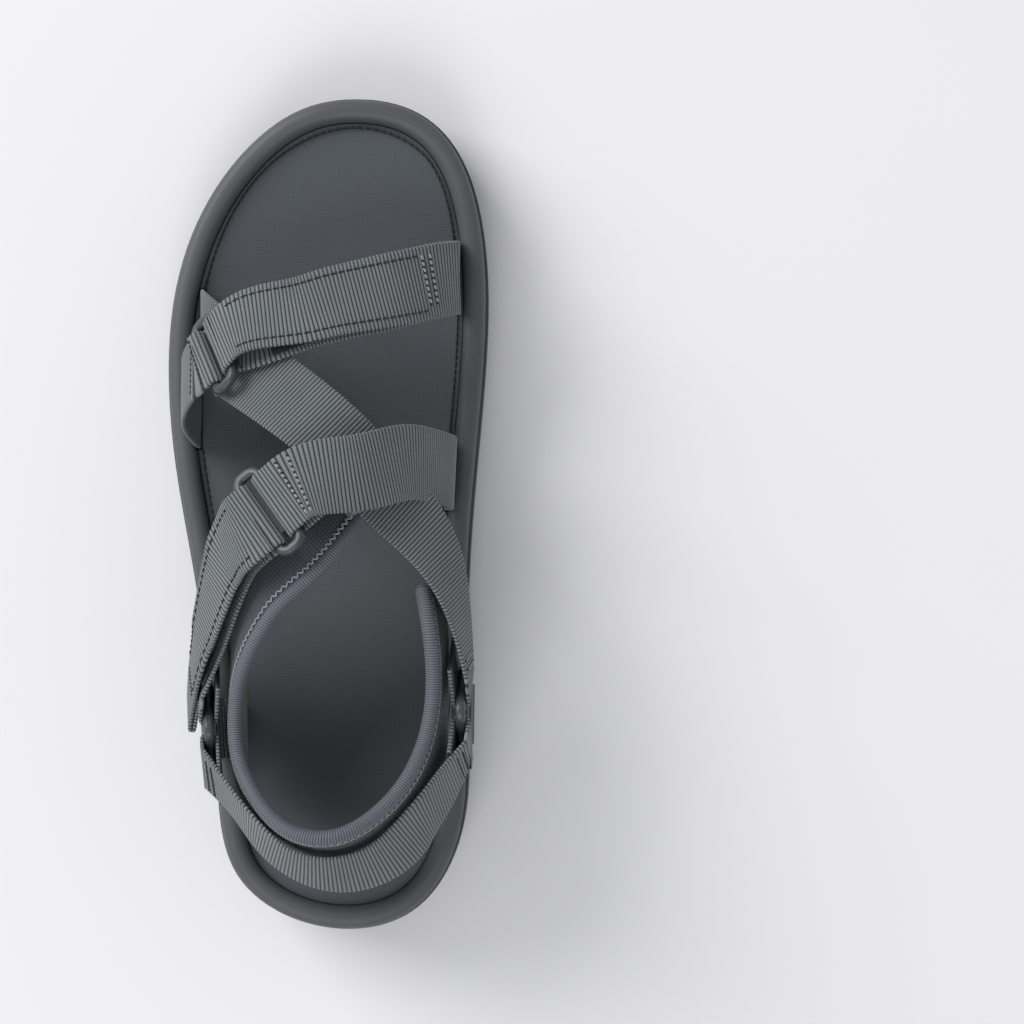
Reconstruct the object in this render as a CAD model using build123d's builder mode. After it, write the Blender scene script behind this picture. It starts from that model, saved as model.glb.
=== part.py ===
from build123d import *
import math
import os

# A left-foot strap sandal in millimetres: +Z up, +Y to the toe, +X to the inner (medial) side.
# The origin lies on the ground plane under the middle of the sole.

# ---- sole ----
SOLE_WIDTH = 111.0
OUTSOLE_THICK = 4.0
TREAD_DEPTH = 2.0
FOOTBED_THICK = 5.0
CUP_DEPTH = 5.0  # from the crest of the rim down to the footbed
RIM_WIDTH = 8.6
BEAD_INSET = 1.0
GROOVE_INSET = 2.2
GROOVE_HEIGHT = 1.2
BEAD_HEIGHT = 8.0
RIM_ROUND = 3.5
OUTLINE_STEPS = 20
FIT_GAP = 0.3

# ---- webbing and hardware ----
WEB_WIDTH = 25.0
WEB_THICK = 1.4
TAPE_WIDTH = 22.0
ANCHOR_WIDTH = 20.5
TAPE_THICK = 0.9
LAYER_GAP = 0.15
LOW_LIFT = 1.0  # the cross strap lies on the last
OVER_LIFT = 4.6  # the straps that pass over it
ROD = 3.4
EYE_RADIUS = ROD / 2 + LAYER_GAP + WEB_THICK / 2
RING_OPENING = 27.0
RING_PITCH = 8.0  # between the two bars of a strap ring
RING_CORNER = 3.0
SLOT_DEPTH = 14.0
SLOT_CLEARANCE = 0.5
EYE_LEG = 4.0
RETURN_LEG = 12.0
HINGE_LEG = 0.8
HINGE_GAP = 0.6
HOOK_PLAY = 1.0  # between hook and loop tapes when closed
LOOP_LIFT = WEB_THICK / 2 + LAYER_GAP + TAPE_THICK / 2
HOOK_LIFT = LOOP_LIFT + TAPE_THICK + HOOK_PLAY
FLAP_LIFT = HOOK_LIFT + TAPE_THICK / 2 + LAYER_GAP + WEB_THICK / 2

# ---- collar ----
LINING_THICK = 0.8
FOAM_THICK = 4.2
BINDING_RADIUS = 2.6

# ---- last: the foot that the straps are shaped over ----
LAST_LOW = 57.0
LAST_HIGH = 84.0
LAST_ROUND = 2.3

outline_points = [
    (14.0, 142.5),
    (42.0, 129.0),
    (53.5, 99.0),
    (55.2, 62.0),
    (50.5, 4.0),
    (48.2, -42.0),
    (48.0, -95.0),
    (39.0, -129.0),
    (7.0, -142.5),
    (-27.0, -130.0),
    (-37.5, -95.0),
    (-44.5, -32.0),
    (-52.5, 12.0),
    (-55.8, 48.0),
    (-50.0, 90.0),
    (-24.5, 129.5),
]
crest_points = [(-152, 41.5), (-100, 40), (-50, 36), (0, 31.5), (50, 28), (90, 28.5), (152, 36)]
ground_points = [(-152, 11), (-132, 3.5), (-108, 0)]
toe_spring_points = [(62, 0), (105, 2.6), (152, 11)]

os.makedirs("parts", exist_ok=True)


def write(built, name):
    """Labels a finished piece and writes it under its node name."""
    built.part.label = name
    export_step(built.part, f"parts/{name}.step")


def crest(y):
    """Height of the rim's crest at a station along the sole."""
    for (y0, z0), (y1, z1) in zip(crest_points, crest_points[1:]):
        if y <= y1:
            return z0 + (z1 - z0) * (y - y0) / (y1 - y0)
    return crest_points[-1][1]


def inset_outline(inset):
    """Points of the sole outline drawn in by inset, for a smooth closed curve."""
    with BuildLine() as line:
        Spline(*outline_points, periodic=True)
    points = []
    for step in range(OUTLINE_STEPS):
        t = step / OUTLINE_STEPS
        tangent = line.line % t
        points.append(line.line @ t + Vector(tangent.Y, -tangent.X, 0) * inset)
    return points


def sole_block(inset, low, high, below_crest):
    """The sole outline, drawn in by inset, between two side-profile curves.

    low is a height above the tread line, or None to measure the floor from the crest."""
    with BuildPart() as block:
        with BuildSketch(Plane.XY.offset(-5)):
            with BuildLine():
                Spline(*inset_outline(inset), periodic=True)
            make_face()
        extrude(amount=70)
        with BuildSketch(Plane.YZ.offset(-80)):
            with BuildLine():
                if low is None:
                    bottom = [(y, z - high) for y, z in crest_points]
                    start = bottom[0]
                    finish = bottom[-1]
                    Spline(*bottom)
                else:
                    start = (ground_points[0][0], ground_points[0][1] + low)
                    finish = (toe_spring_points[-1][0], toe_spring_points[-1][1] + low)
                    heel = [(y, z + low) for y, z in ground_points]
                    toe = [(y, z + low) for y, z in toe_spring_points]
                    Spline(*heel, tangents=((0.9, -0.4), (1, 0)))
                    Line(heel[-1], toe[0])
                    Spline(*toe, tangents=((1, 0), (0.98, 0.2)))
                top = [(y, z - below_crest) for y, z in crest_points]
                Line(finish, top[-1])
                Spline(*top)
                Line(top[0], start)
            make_face()
        extrude(amount=160, mode=Mode.INTERSECT)
    return block


def last_wall(y):
    """The inner and outer side walls of the last: x on the medial side, then the lateral side."""
    return 37.35 + 0.05 * y, -42.2


def last_top(y):
    """Height of the last's ridge, rising from the toes to the instep."""
    rise = min(max((80.0 - y) / 70.0, 0.0), 1.0)
    return LAST_LOW + (LAST_HIGH - LAST_LOW) * rise * rise * (3 - 2 * rise)


def last_point(degrees, y):
    """A point of the last: 0 degrees at the medial wall, 90 on the ridge, 180 at the lateral wall."""
    medial, lateral = last_wall(y)
    middle = (medial + lateral) / 2
    half = (medial - lateral) / 2
    side = math.cos(math.radians(degrees))
    height = math.sin(math.radians(degrees))
    foot = crest(y) - CUP_DEPTH
    x = middle + half * math.copysign(abs(side) ** (2 / LAST_ROUND), side)
    z = foot + (last_top(y) - foot) * height ** (2 / LAST_ROUND)
    return Vector(x, y, z)


def on_last(degrees, y, lift):
    """A route station: a point lifted off the last and the outward normal there."""
    around = last_point(min(degrees + 1, 179.9), y) - last_point(max(degrees - 1, 0.1), y)
    along = last_point(degrees, y + 1) - last_point(degrees, y - 1)
    normal = along.cross(around).normalized()
    return last_point(degrees, y) + normal * lift, normal


def station(point, normal):
    """A route station away from the last."""
    return Vector(*point), Vector(*normal).normalized()


def wall_tail(x, y, outward):
    """Three stations that carry webbing straight up out of its slot beside the rim."""
    footbed = crest(y) - CUP_DEPTH
    return [station((x, y, footbed + up), (outward, 0, 0)) for up in (-SLOT_DEPTH, -SLOT_DEPTH / 2, 1)]


def slot_cutter(x, y, top):
    """The clearance round one webbing tail."""
    with BuildPart() as cutter:
        with BuildSketch(Plane.XY.offset(top)):
            with Locations((x, y)):
                Rectangle(WEB_THICK + 2 * SLOT_CLEARANCE, WEB_WIDTH + 2 * SLOT_CLEARANCE)
        extrude(amount=-top + crest(y) - CUP_DEPTH - SLOT_DEPTH - FIT_GAP)
    return cutter


def bar_plane(centre, along, away):
    """A plane across a ring bar: local x leads away to the webbing, local y is the outer side."""
    return Plane(origin=centre, x_dir=away, z_dir=along)


def bar_leg(bar, side, length):
    """The route station where a webbing leg leaves the eye round a bar."""
    point = bar.origin + bar.x_dir * length + bar.y_dir * (side * EYE_RADIUS)
    return point, bar.y_dir


def print_hinge(name, bar):
    """The fold line beside a ring bar that a flap peels open about: place and direction."""
    fold = bar.origin + bar.x_dir * (HINGE_LEG + HINGE_GAP / 2) + bar.y_dir * (EYE_RADIUS + WEB_THICK / 2)
    print(name, "hinge at", tuple(round(v, 3) for v in fold), "about", tuple(round(v, 5) for v in bar.z_dir))


def section_planes(route, lift, steps, start=0.0, finish=1.0):
    """Planes across a webbing route, lifted off it along its normals."""
    with BuildLine() as middle:
        Spline(*[point for point, _ in route])
    with BuildLine() as outer:
        Spline(*[point + normal * 10 for point, normal in route])
    planes = []
    for step in range(steps + 1):
        t = start + (finish - start) * step / steps
        tangent = middle.line % t
        normal = (outer.line @ t - middle.line @ t).normalized()
        across = tangent.cross(normal).normalized()
        normal = across.cross(tangent).normalized()
        planes.append(Plane(origin=middle.line @ t + normal * lift, x_dir=across, z_dir=tangent))
    return planes


def layer_route(route, lift, start, finish, steps=6):
    """Stations of a second layer that follows a route at a constant lift."""
    planes = section_planes(route, lift, steps, start, finish)
    return [(plane.origin, plane.y_dir * -1) for plane in planes]


def webbing(route, width, thick, lift=0.0, steps=12, start=0.0, finish=1.0):
    """A flat strap lofted through sections along its route."""
    with BuildPart() as strap:
        for plane in section_planes(route, lift, steps, start, finish):
            with BuildSketch(plane):
                Rectangle(width, thick)
        loft(ruled=True)
    return strap


def eye(bar, width, outer_leg, inner_leg):
    """Webbing folded round a ring bar, with a straight leg on each side."""
    outer = EYE_RADIUS + WEB_THICK / 2
    inner = EYE_RADIUS - WEB_THICK / 2
    with BuildPart() as fold:
        with BuildSketch(bar.offset(-width / 2)):
            with BuildLine():
                Line((outer_leg, outer), (0, outer))
                ThreePointArc((0, outer), (-outer, 0), (0, -outer))
                Line((0, -outer), (inner_leg, -outer))
                Line((inner_leg, -outer), (inner_leg, -inner))
                Line((inner_leg, -inner), (0, -inner))
                ThreePointArc((0, -inner), (-inner, 0), (0, inner))
                Line((0, inner), (outer_leg, inner))
                Line((outer_leg, inner), (outer_leg, outer))
            make_face()
        extrude(amount=width)
    return fold


def joined(*pieces):
    """One strap from its run and its folded ends."""
    with BuildPart() as strap:
        for piece in pieces:
            add(piece.part)
    return strap


def strap_ring(centre, along, across):
    """A rounded rectangular ring of round rod; its long bars run along, pitched across."""
    normal = across.cross(along)
    with BuildPart() as ring:
        with BuildSketch(Plane(origin=centre, x_dir=across, z_dir=normal).offset(-ROD / 2)):
            RectangleRounded(RING_PITCH + ROD, RING_OPENING + 2 * ROD, ROD * 1.4)
            RectangleRounded(RING_PITCH - ROD, RING_OPENING, 1.2, mode=Mode.SUBTRACT)
        extrude(amount=ROD)
        fillet(ring.edges().group_by(Axis(centre, normal))[0], ROD * 0.42)
        fillet(ring.edges().group_by(Axis(centre, normal))[-1], ROD * 0.42)
    return ring


def triangle_ring(corners):
    """A rounded three-sided ring of round rod, through the middle of its rod."""
    first, second, third = [Vector(*corner) for corner in corners]
    normal = (second - first).cross(third - first).normalized()
    face = Plane(origin=first, x_dir=(second - first).normalized(), z_dir=normal)
    flat = [face.to_local_coords(point) for point in (first, second, third)]
    with BuildPart() as ring:
        with BuildSketch(face.offset(-ROD / 2)):
            with BuildLine():
                Polyline(*[(point.X, point.Y) for point in flat], close=True)
            make_face()
            offset(amount=-RING_CORNER, mode=Mode.REPLACE)
            offset(amount=RING_CORNER + ROD / 2, kind=Kind.ARC, mode=Mode.REPLACE)
            with BuildLine():
                Polyline(*[(point.X, point.Y) for point in flat], close=True)
            opening = offset(make_face(mode=Mode.PRIVATE), amount=-RING_CORNER, mode=Mode.PRIVATE)
            offset(opening, amount=RING_CORNER - ROD / 2, kind=Kind.ARC, mode=Mode.SUBTRACT)
        extrude(amount=ROD)
        fillet(ring.edges().group_by(Axis(first, normal))[0], ROD * 0.42)
        fillet(ring.edges().group_by(Axis(first, normal))[-1], ROD * 0.42)
    return ring


def side_bar(start, finish, away):
    """The bar plane at the middle of one side of a triangular ring."""
    start, finish = Vector(*start), Vector(*finish)
    along = (finish - start).normalized()
    away = Vector(*away)
    away = (away - along * away.dot(along)).normalized()
    return bar_plane((start + finish) / 2, along, away)


# ---- courses over the last: angle round it, then y ----
FOREFOOT_COURSE = [(14, 80.6), (32, 79.0), (52, 75.0), (74, 69.4), (96, 62.6), (114, 56.8)]
CROSS_COURSE = [(166, 63.0), (142, 55.5), (113, 43.5), (79, 22.0), (60, 10.0), (43, 0.5)]
INSTEP_COURSE = [(14, 13.4), (34, 15.0), (54, 15.2), (76, 11.0)]
ANCHOR_COURSE = [(164, 39.0)]

# ---- places where webbing tails enter the sole: x, y, outward direction ----
tails = {
    "forefoot_strap": (44.2, 81.0, 1),
    "cross_strap": (-43.3, 64.5, -1),
    "forefoot_ring_anchor": (-44.6, 34.5, -1),
    "instep_strap": (40.8, 13.0, 1),
    "medial_rear_anchor": (38.4, -67.0, 1),
    "lateral_rear_anchor": (-29.0, -75.0, -1),
}

# ---- ring positions ----
INSTEP_RING_MIDDLE = Vector(-14.6, 0.2, 91.0)
INSTEP_RING_NORMAL = Vector(-0.34, 0.22, 0.91).normalized()
MEDIAL_RING = [(48.0, -50.0, 45.5), (47.5, -86.5, 47.5), (46.5, -65.0, 79.0)]
LATERAL_RING = [(-39.5, -55.5, 45.0), (-37.0, -91.5, 47.0), (-35.5, -71.0, 78.5)]


def ring_frame(normal, along):
    """Directions along and across a ring, squared up to its normal."""
    along = (along - normal * along.dot(normal)).normalized()
    return along, normal.cross(along)


# ---- sole ----
def make_outsole():
    """Rubber tread: a shallow-grooved layer under the whole sole."""
    outsole = sole_block(BEAD_INSET, 0, 0, BEAD_HEIGHT + GROOVE_HEIGHT)
    with BuildPart() as tread:
        add(outsole.part)
        add(sole_block(0, OUTSOLE_THICK, 0, BEAD_HEIGHT + GROOVE_HEIGHT).part, mode=Mode.SUBTRACT)
        with Locations(*[(0, y, 0) for y in range(-114, 130, 12)]):
            Box(SOLE_WIDTH * 0.62, 2.4, 2 * TREAD_DEPTH, mode=Mode.SUBTRACT)
    return tread


def make_midsole():
    """EVA cup: wall, groove and rounded bead round a sunken floor with strap slots."""
    with BuildPart() as bead:
        add(sole_block(BEAD_INSET, None, BEAD_HEIGHT, 0).part)
        add(sole_block(RIM_WIDTH, None, BEAD_HEIGHT + 1, -5).part, mode=Mode.SUBTRACT)
        fillet(bead.faces().sort_by(Axis.Z)[-1].edges(), RIM_ROUND)
    with BuildPart() as cup:
        add(sole_block(0, OUTSOLE_THICK, 0, BEAD_HEIGHT + GROOVE_HEIGHT).part)
        add(sole_block(GROOVE_INSET, None, BEAD_HEIGHT + GROOVE_HEIGHT + 2, BEAD_HEIGHT - 1).part)
        add(sole_block(RIM_WIDTH, None, CUP_DEPTH + FOOTBED_THICK, -5).part, mode=Mode.SUBTRACT)
        add(bead.part)
        for x, y, _ in tails.values():
            add(slot_cutter(x, y, crest(y) + 5).part, mode=Mode.SUBTRACT)
    return cup


def make_footbed():
    """Cushioned footbed lying in the cup, notched for the straps."""
    with BuildPart() as pad:
        add(sole_block(RIM_WIDTH + FIT_GAP, None, CUP_DEPTH + FOOTBED_THICK, CUP_DEPTH).part)
        for x, y, _ in tails.values():
            add(slot_cutter(x, y, crest(y)).part, mode=Mode.SUBTRACT)
    return pad


write(make_outsole(), "outsole")
write(make_midsole(), "midsole")
write(make_footbed(), "footbed")

# ---- forefoot strap ----
forefoot_middle, forefoot_normal = on_last(133, 50.6, OVER_LIFT + EYE_RADIUS)
forefoot_along, forefoot_across = ring_frame(forefoot_normal, Vector(0.36, -0.7, 0.61))
forefoot_bar = bar_plane(
    forefoot_middle + forefoot_across * RING_PITCH / 2, forefoot_along, forefoot_across
)
anchor_bar = bar_plane(
    forefoot_middle - forefoot_across * RING_PITCH / 2, -forefoot_along, -forefoot_across
)
forefoot_run = [on_last(angle, y, OVER_LIFT) for angle, y in FOREFOOT_COURSE]
forefoot_route = [*wall_tail(*tails["forefoot_strap"]), *forefoot_run, bar_leg(forefoot_bar, -1, EYE_LEG)]
forefoot_eye = eye(forefoot_bar, WEB_WIDTH, HINGE_LEG, EYE_LEG)
write(joined(webbing(forefoot_route, WEB_WIDTH, WEB_THICK, steps=16), forefoot_eye), "forefoot_strap")
write(
    webbing(forefoot_route, TAPE_WIDTH, TAPE_THICK, LOOP_LIFT, 10, 0.36, 0.9),
    "forefoot_loop_tape",
)
write(strap_ring(forefoot_middle, forefoot_along, forefoot_across), "forefoot_ring")
print_hinge("forefoot flap", forefoot_bar)
forefoot_flap_route = [
    bar_leg(forefoot_bar, 1, HINGE_LEG + HINGE_GAP),
    bar_leg(forefoot_bar, 1, EYE_LEG - 1),
    bar_leg(forefoot_bar, 1, EYE_LEG + 1),
    *layer_route(forefoot_route, FLAP_LIFT, 0.84, 0.3, 8),
]
write(webbing(forefoot_flap_route, WEB_WIDTH, WEB_THICK), "forefoot_flap")
write(
    webbing(forefoot_flap_route, TAPE_WIDTH, TAPE_THICK, HOOK_LIFT - FLAP_LIFT, 10, 0.16, 0.78),
    "forefoot_hook_tape",
)
anchor_route = [
    *wall_tail(*tails["forefoot_ring_anchor"]),
    *[on_last(angle, y, OVER_LIFT + EYE_RADIUS) for angle, y in ANCHOR_COURSE],
    bar_leg(anchor_bar, 1, EYE_LEG),
]
anchor_eye = eye(anchor_bar, WEB_WIDTH, EYE_LEG, EYE_LEG)
write(joined(webbing(anchor_route, WEB_WIDTH, WEB_THICK), anchor_eye), "forefoot_ring_anchor")

# ---- rear rings ----
medial_front = side_bar(MEDIAL_RING[2], MEDIAL_RING[0], (-0.1, 0.88, 0.43))
medial_rear = side_bar(MEDIAL_RING[1], MEDIAL_RING[2], (-0.1, -0.82, 0.57))
medial_foot = side_bar(MEDIAL_RING[0], MEDIAL_RING[1], (-0.7, 0, -0.7))
lateral_front = side_bar(LATERAL_RING[0], LATERAL_RING[2], (0.1, 0.88, 0.43))
lateral_rear = side_bar(LATERAL_RING[2], LATERAL_RING[1], (0.1, -0.82, 0.57))
lateral_foot = side_bar(LATERAL_RING[1], LATERAL_RING[0], (0.7, 0, -0.7))
write(triangle_ring(MEDIAL_RING), "medial_rear_ring")
write(triangle_ring(LATERAL_RING), "lateral_rear_ring")

# ---- cross strap ----
cross_route = [
    *wall_tail(*tails["cross_strap"]),
    *[on_last(angle, y, LOW_LIFT) for angle, y in CROSS_COURSE],
    station((41.0, -17.0, 71.0), (0.85, 0.1, 0.45)),
    station((46.2, -33.0, 67.0), (0.95, 0.1, 0.25)),
    bar_leg(medial_front, 1, EYE_LEG),
]
cross_eye = eye(medial_front, WEB_WIDTH, EYE_LEG, RETURN_LEG)
write(joined(webbing(cross_route, WEB_WIDTH, WEB_THICK, steps=20), cross_eye), "cross_strap")

# ---- instep strap and ring ----
instep_along, instep_across = ring_frame(INSTEP_RING_NORMAL, Vector(0.64, -0.77, 0))
instep_bar = bar_plane(INSTEP_RING_MIDDLE + instep_across * RING_PITCH / 2, instep_along, instep_across)
ankle_bar = bar_plane(INSTEP_RING_MIDDLE - instep_across * RING_PITCH / 2, -instep_along, -instep_across)
instep_route = [
    *wall_tail(*tails["instep_strap"]),
    *[on_last(angle, y, OVER_LIFT + 2.3) for angle, y in INSTEP_COURSE],
    bar_leg(instep_bar, -1, EYE_LEG + 3),
    bar_leg(instep_bar, -1, EYE_LEG),
]
instep_eye = eye(instep_bar, WEB_WIDTH, RETURN_LEG, EYE_LEG)
write(strap_ring(INSTEP_RING_MIDDLE, instep_along, instep_across), "instep_ring")
print_hinge("ankle flap", ankle_bar)
write(joined(webbing(instep_route, WEB_WIDTH, WEB_THICK, steps=16), instep_eye), "instep_strap")

# ---- ankle strap and its return flap ----
ankle_course = [
    station((-24.0, -11.0, 82.0), (-0.6, 0.3, 0.74)),
    station((-29.8, -25.0, 75.0), (-0.8, 0.22, 0.55)),
    station((-34.6, -41.0, 67.5), (-0.93, 0.1, 0.36)),
]
ankle_route = [bar_leg(ankle_bar, -1, EYE_LEG), *ankle_course, bar_leg(lateral_front, 1, EYE_LEG)]
ankle_upper_eye = eye(ankle_bar, WEB_WIDTH, HINGE_LEG, EYE_LEG)
ankle_lower_eye = eye(lateral_front, WEB_WIDTH, EYE_LEG, RETURN_LEG)
write(
    joined(webbing(ankle_route, WEB_WIDTH, WEB_THICK), ankle_upper_eye, ankle_lower_eye),
    "ankle_strap",
)
write(webbing(ankle_route, TAPE_WIDTH, TAPE_THICK, LOOP_LIFT, 10, 0.1, 0.93), "ankle_loop_tape")
ankle_flap_route = [
    bar_leg(ankle_bar, 1, HINGE_LEG + HINGE_GAP),
    bar_leg(ankle_bar, 1, EYE_LEG - 1),
    bar_leg(ankle_bar, 1, EYE_LEG + 1),
    *layer_route(ankle_route, FLAP_LIFT, 0.22, 0.76, 6),
    station((-42.6, -55.0, 60.5), (-0.97, 0.05, 0.2)),
    station((-44.6, -67.0, 54.5), (-0.98, 0.05, 0.15)),
]
write(webbing(ankle_flap_route, WEB_WIDTH, WEB_THICK), "ankle_flap")
write(
    webbing(ankle_flap_route, TAPE_WIDTH, TAPE_THICK, HOOK_LIFT - FLAP_LIFT, 10, 0.2, 0.62),
    "ankle_hook_tape",
)

# ---- rear anchors ----
medial_anchor_route = [
    *wall_tail(*tails["medial_rear_anchor"]),
    station((38.6, -67.0, 38.0), (1, 0, 0.1)),
    bar_leg(medial_foot, 1, EYE_LEG),
]
write(
    joined(
        webbing(medial_anchor_route, ANCHOR_WIDTH, WEB_THICK),
        eye(medial_foot, ANCHOR_WIDTH, EYE_LEG, EYE_LEG),
    ),
    "medial_rear_anchor",
)
lateral_anchor_route = [
    *wall_tail(*tails["lateral_rear_anchor"]),
    station((-29.4, -74.5, 38.5), (-1, 0, 0.1)),
    bar_leg(lateral_foot, 1, EYE_LEG),
]
write(
    joined(
        webbing(lateral_anchor_route, ANCHOR_WIDTH, WEB_THICK),
        eye(lateral_foot, ANCHOR_WIDTH, EYE_LEG, EYE_LEG),
    ),
    "lateral_rear_anchor",
)

# ---- heel strap ----
heel_route = [
    bar_leg(medial_rear, 1, EYE_LEG),
    station((41.5, -91.0, 70.5), (0.8, -0.42, 0.42)),
    station((34.5, -101.0, 76.0), (0.56, -0.6, 0.58)),
    station((22.5, -113.2, 79.5), (0.28, -0.74, 0.6)),
    station((5.0, -118.2, 80.5), (0, -0.84, 0.54)),
    station((-10.3, -113.6, 79.3), (-0.42, -0.8, 0.44)),
    station((-22.0, -103.0, 76.5), (-0.68, -0.62, 0.38)),
    station((-30.5, -93.0, 71.0), (-0.87, -0.42, 0.26)),
    bar_leg(lateral_rear, 1, EYE_LEG),
]
write(
    joined(
        webbing(heel_route, WEB_WIDTH, WEB_THICK, steps=20),
        eye(medial_rear, WEB_WIDTH, EYE_LEG, RETURN_LEG),
        eye(lateral_rear, WEB_WIDTH, EYE_LEG, RETURN_LEG),
    ),
    "heel_strap",
)

# ---- padded collar: its upper edge, where the binding sits, and its lower edge ----
collar_edges = [
    ((12.5, -4.0, 81.0), (5.0, 3.0, 79.5)),
    ((-0.9, -20.5, 88.0), (-13.0, -9.0, 80.5)),
    ((-11.9, -30.5, 88.0), (-21.5, -21.5, 77.0)),
    ((-19.0, -40.7, 86.0), (-27.0, -34.5, 68.0)),
    ((-24.0, -51.0, 81.0), (-28.5, -49.0, 58.0)),
    ((-27.1, -66.0, 76.0), (-28.0, -67.0, 50.0)),
    ((-26.0, -79.0, 78.0), (-28.0, -83.0, 50.0)),
    ((-19.0, -93.0, 86.0), (-23.0, -100.0, 50.0)),
    ((-6.1, -103.3, 94.0), (-8.0, -112.0, 49.0)),
    ((6.0, -104.2, 96.0), (8.0, -118.0, 48.0)),
    ((19.0, -98.0, 92.0), (23.5, -112.0, 48.0)),
    ((29.0, -87.5, 86.0), (35.5, -99.0, 48.0)),
    ((36.0, -71.0, 78.0), (40.0, -78.0, 51.0)),
    ((37.8, -56.0, 77.5), (40.0, -57.0, 51.0)),
    ((37.0, -42.0, 79.0), (40.5, -41.0, 54.0)),
    ((35.3, -31.0, 77.0), (38.5, -30.5, 60.0)),
    ((34.0, -23.5, 73.5), (36.8, -23.0, 61.0)),
]


def collar_sections(steps):
    """Planes across the collar wall, local x up it, with the wall's height there."""
    with BuildLine() as top:
        Spline(*[upper for upper, _ in collar_edges])
    with BuildLine() as hem:
        Spline(*[lower for _, lower in collar_edges])
    sections = []
    for step in range(steps + 1):
        t = step / steps
        rise = top.line @ t - hem.line @ t
        tangent = (top.line % t + hem.line % t).normalized()
        upward = (rise - tangent * rise.dot(tangent)).normalized()
        sections.append((Plane(origin=top.line @ t, x_dir=upward, z_dir=tangent), rise.length))
    return sections


def collar_layer(thick, lift, steps=28):
    """One layer of the collar wall, hanging from just under the binding."""
    with BuildPart() as layer:
        for plane, height in collar_sections(steps):
            with BuildSketch(plane):
                with Locations((-(BINDING_RADIUS + FIT_GAP + height) / 2, lift)):
                    Rectangle(height - BINDING_RADIUS - FIT_GAP, thick)
        loft(ruled=True)
    return layer


def make_binding(steps=28):
    """Ribbed elastic binding along the collar's upper edge."""
    with BuildPart() as cord:
        for plane, _ in collar_sections(steps):
            with BuildSketch(plane):
                RegularPolygon(BINDING_RADIUS, 12)
        loft(ruled=True)
    return cord


shell_lift = FOAM_THICK / 2 + LAYER_GAP + LINING_THICK / 2
write(collar_layer(FOAM_THICK, 0), "collar_foam")
write(collar_layer(LINING_THICK, shell_lift), "collar_shell")
write(collar_layer(LINING_THICK, -shell_lift), "collar_lining")
write(make_binding(), "collar_binding")
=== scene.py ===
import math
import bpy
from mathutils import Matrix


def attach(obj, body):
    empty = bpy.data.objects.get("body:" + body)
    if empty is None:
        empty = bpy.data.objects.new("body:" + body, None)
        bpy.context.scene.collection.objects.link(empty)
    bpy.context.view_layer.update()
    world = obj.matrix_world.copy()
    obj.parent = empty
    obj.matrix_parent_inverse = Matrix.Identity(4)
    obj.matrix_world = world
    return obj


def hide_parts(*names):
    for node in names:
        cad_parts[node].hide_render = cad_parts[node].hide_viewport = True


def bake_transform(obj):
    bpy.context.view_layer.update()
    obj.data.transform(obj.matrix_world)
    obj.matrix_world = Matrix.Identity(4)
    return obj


bl_info = {
    "name": "Strappy Sport Sandal",
    "version": (1, 0, 0),
    "blender": (4, 5, 0),
    "location": "3D View > Sidebar > Sandal",
    "description": "Builds a webbing sport sandal, piece by piece, round its CAD frame",
    "category": "Object",
}

import bpy
import numpy as np

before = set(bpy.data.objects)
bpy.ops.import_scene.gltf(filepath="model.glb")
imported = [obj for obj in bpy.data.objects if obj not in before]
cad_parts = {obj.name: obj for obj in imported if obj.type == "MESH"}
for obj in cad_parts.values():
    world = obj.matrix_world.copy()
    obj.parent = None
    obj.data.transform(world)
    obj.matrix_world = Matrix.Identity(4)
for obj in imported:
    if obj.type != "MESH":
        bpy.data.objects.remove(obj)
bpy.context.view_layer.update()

MM = 0.001
BODY = "sandal"

# ---- sizes that the CAD model and these pieces share, in millimetres ----
WEB_WIDTH = 25.0
WEB_THICK = 1.4
TAPE_WIDTH = 22.0
ANCHOR_WIDTH = 20.5
TAPE_THICK = 0.9
LAYER_GAP = 0.15
LOW_LIFT = 1.0
OVER_LIFT = 4.6
ROD = 3.4
RING_PITCH = 8.0
CUP_DEPTH = 5.0
SLOT_DEPTH = 14.0
EYE_LEG = 4.0
RETURN_LEG = 12.0
HINGE_LEG = 0.8
HOOK_PLAY = 1.0
FOLD_RADIUS = ROD / 2 + LAYER_GAP + WEB_THICK / 2
LOOP_LIFT = WEB_THICK / 2 + LAYER_GAP + TAPE_THICK / 2
HOOK_LIFT = LOOP_LIFT + TAPE_THICK + HOOK_PLAY
FLAP_LIFT = HOOK_LIFT + TAPE_THICK / 2 + LAYER_GAP + WEB_THICK / 2
RIM_WIDTH = 8.6
FOAM_THICK = 4.2
LINING_THICK = 0.8
BINDING_RADIUS = 2.6
LAST_LOW = 57.0
LAST_HIGH = 84.0
LAST_ROUND = 2.3

# ---- finer detail than the CAD model holds, in millimetres ----
RIB_ROWS = 6
PATH_STEP = 0.4
TAB_RETURN = 13.0
TAB_RADIUS = 0.78
BINDING_TAIL = (20.5, 3.0, 79.0)
FLAP_SEAM_REACH = 9.3
TAPE_SEAM_REACH = 9.8
TACK_PITCH = 2.1
HEAVY_THREAD = 0.68
ZIGZAG_STEP = 1.1
LOOPS_PER_MM2 = 1.6
HOOK_PITCH = 1.5
BRISTLE_RADIUS = 0.09
SWELL_FRAMES = 20

# ---- pitches of the surface patterns, in millimetres, some drawn coarser than real so that they show ----
YARN = 0.85
PLY = 0.5
KNIT_WALE = 1.1
KNIT_ROW = 0.9
KNIT_OFFSET = 0.35
LINEN_WEFT = 1.0
LINEN_WARP = 1.6
LINEN_DRIFT = 1.2

# ---- the stage: the floor in millimetres, the camera's place in metres, its film and lens in millimetres ----
FLOOR_REACH = 3000.0
CAMERA_PLACE = (0.0636, 0, 1.0)
CAMERA_SENSOR = 36
CAMERA_LENS = 99.17

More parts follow.
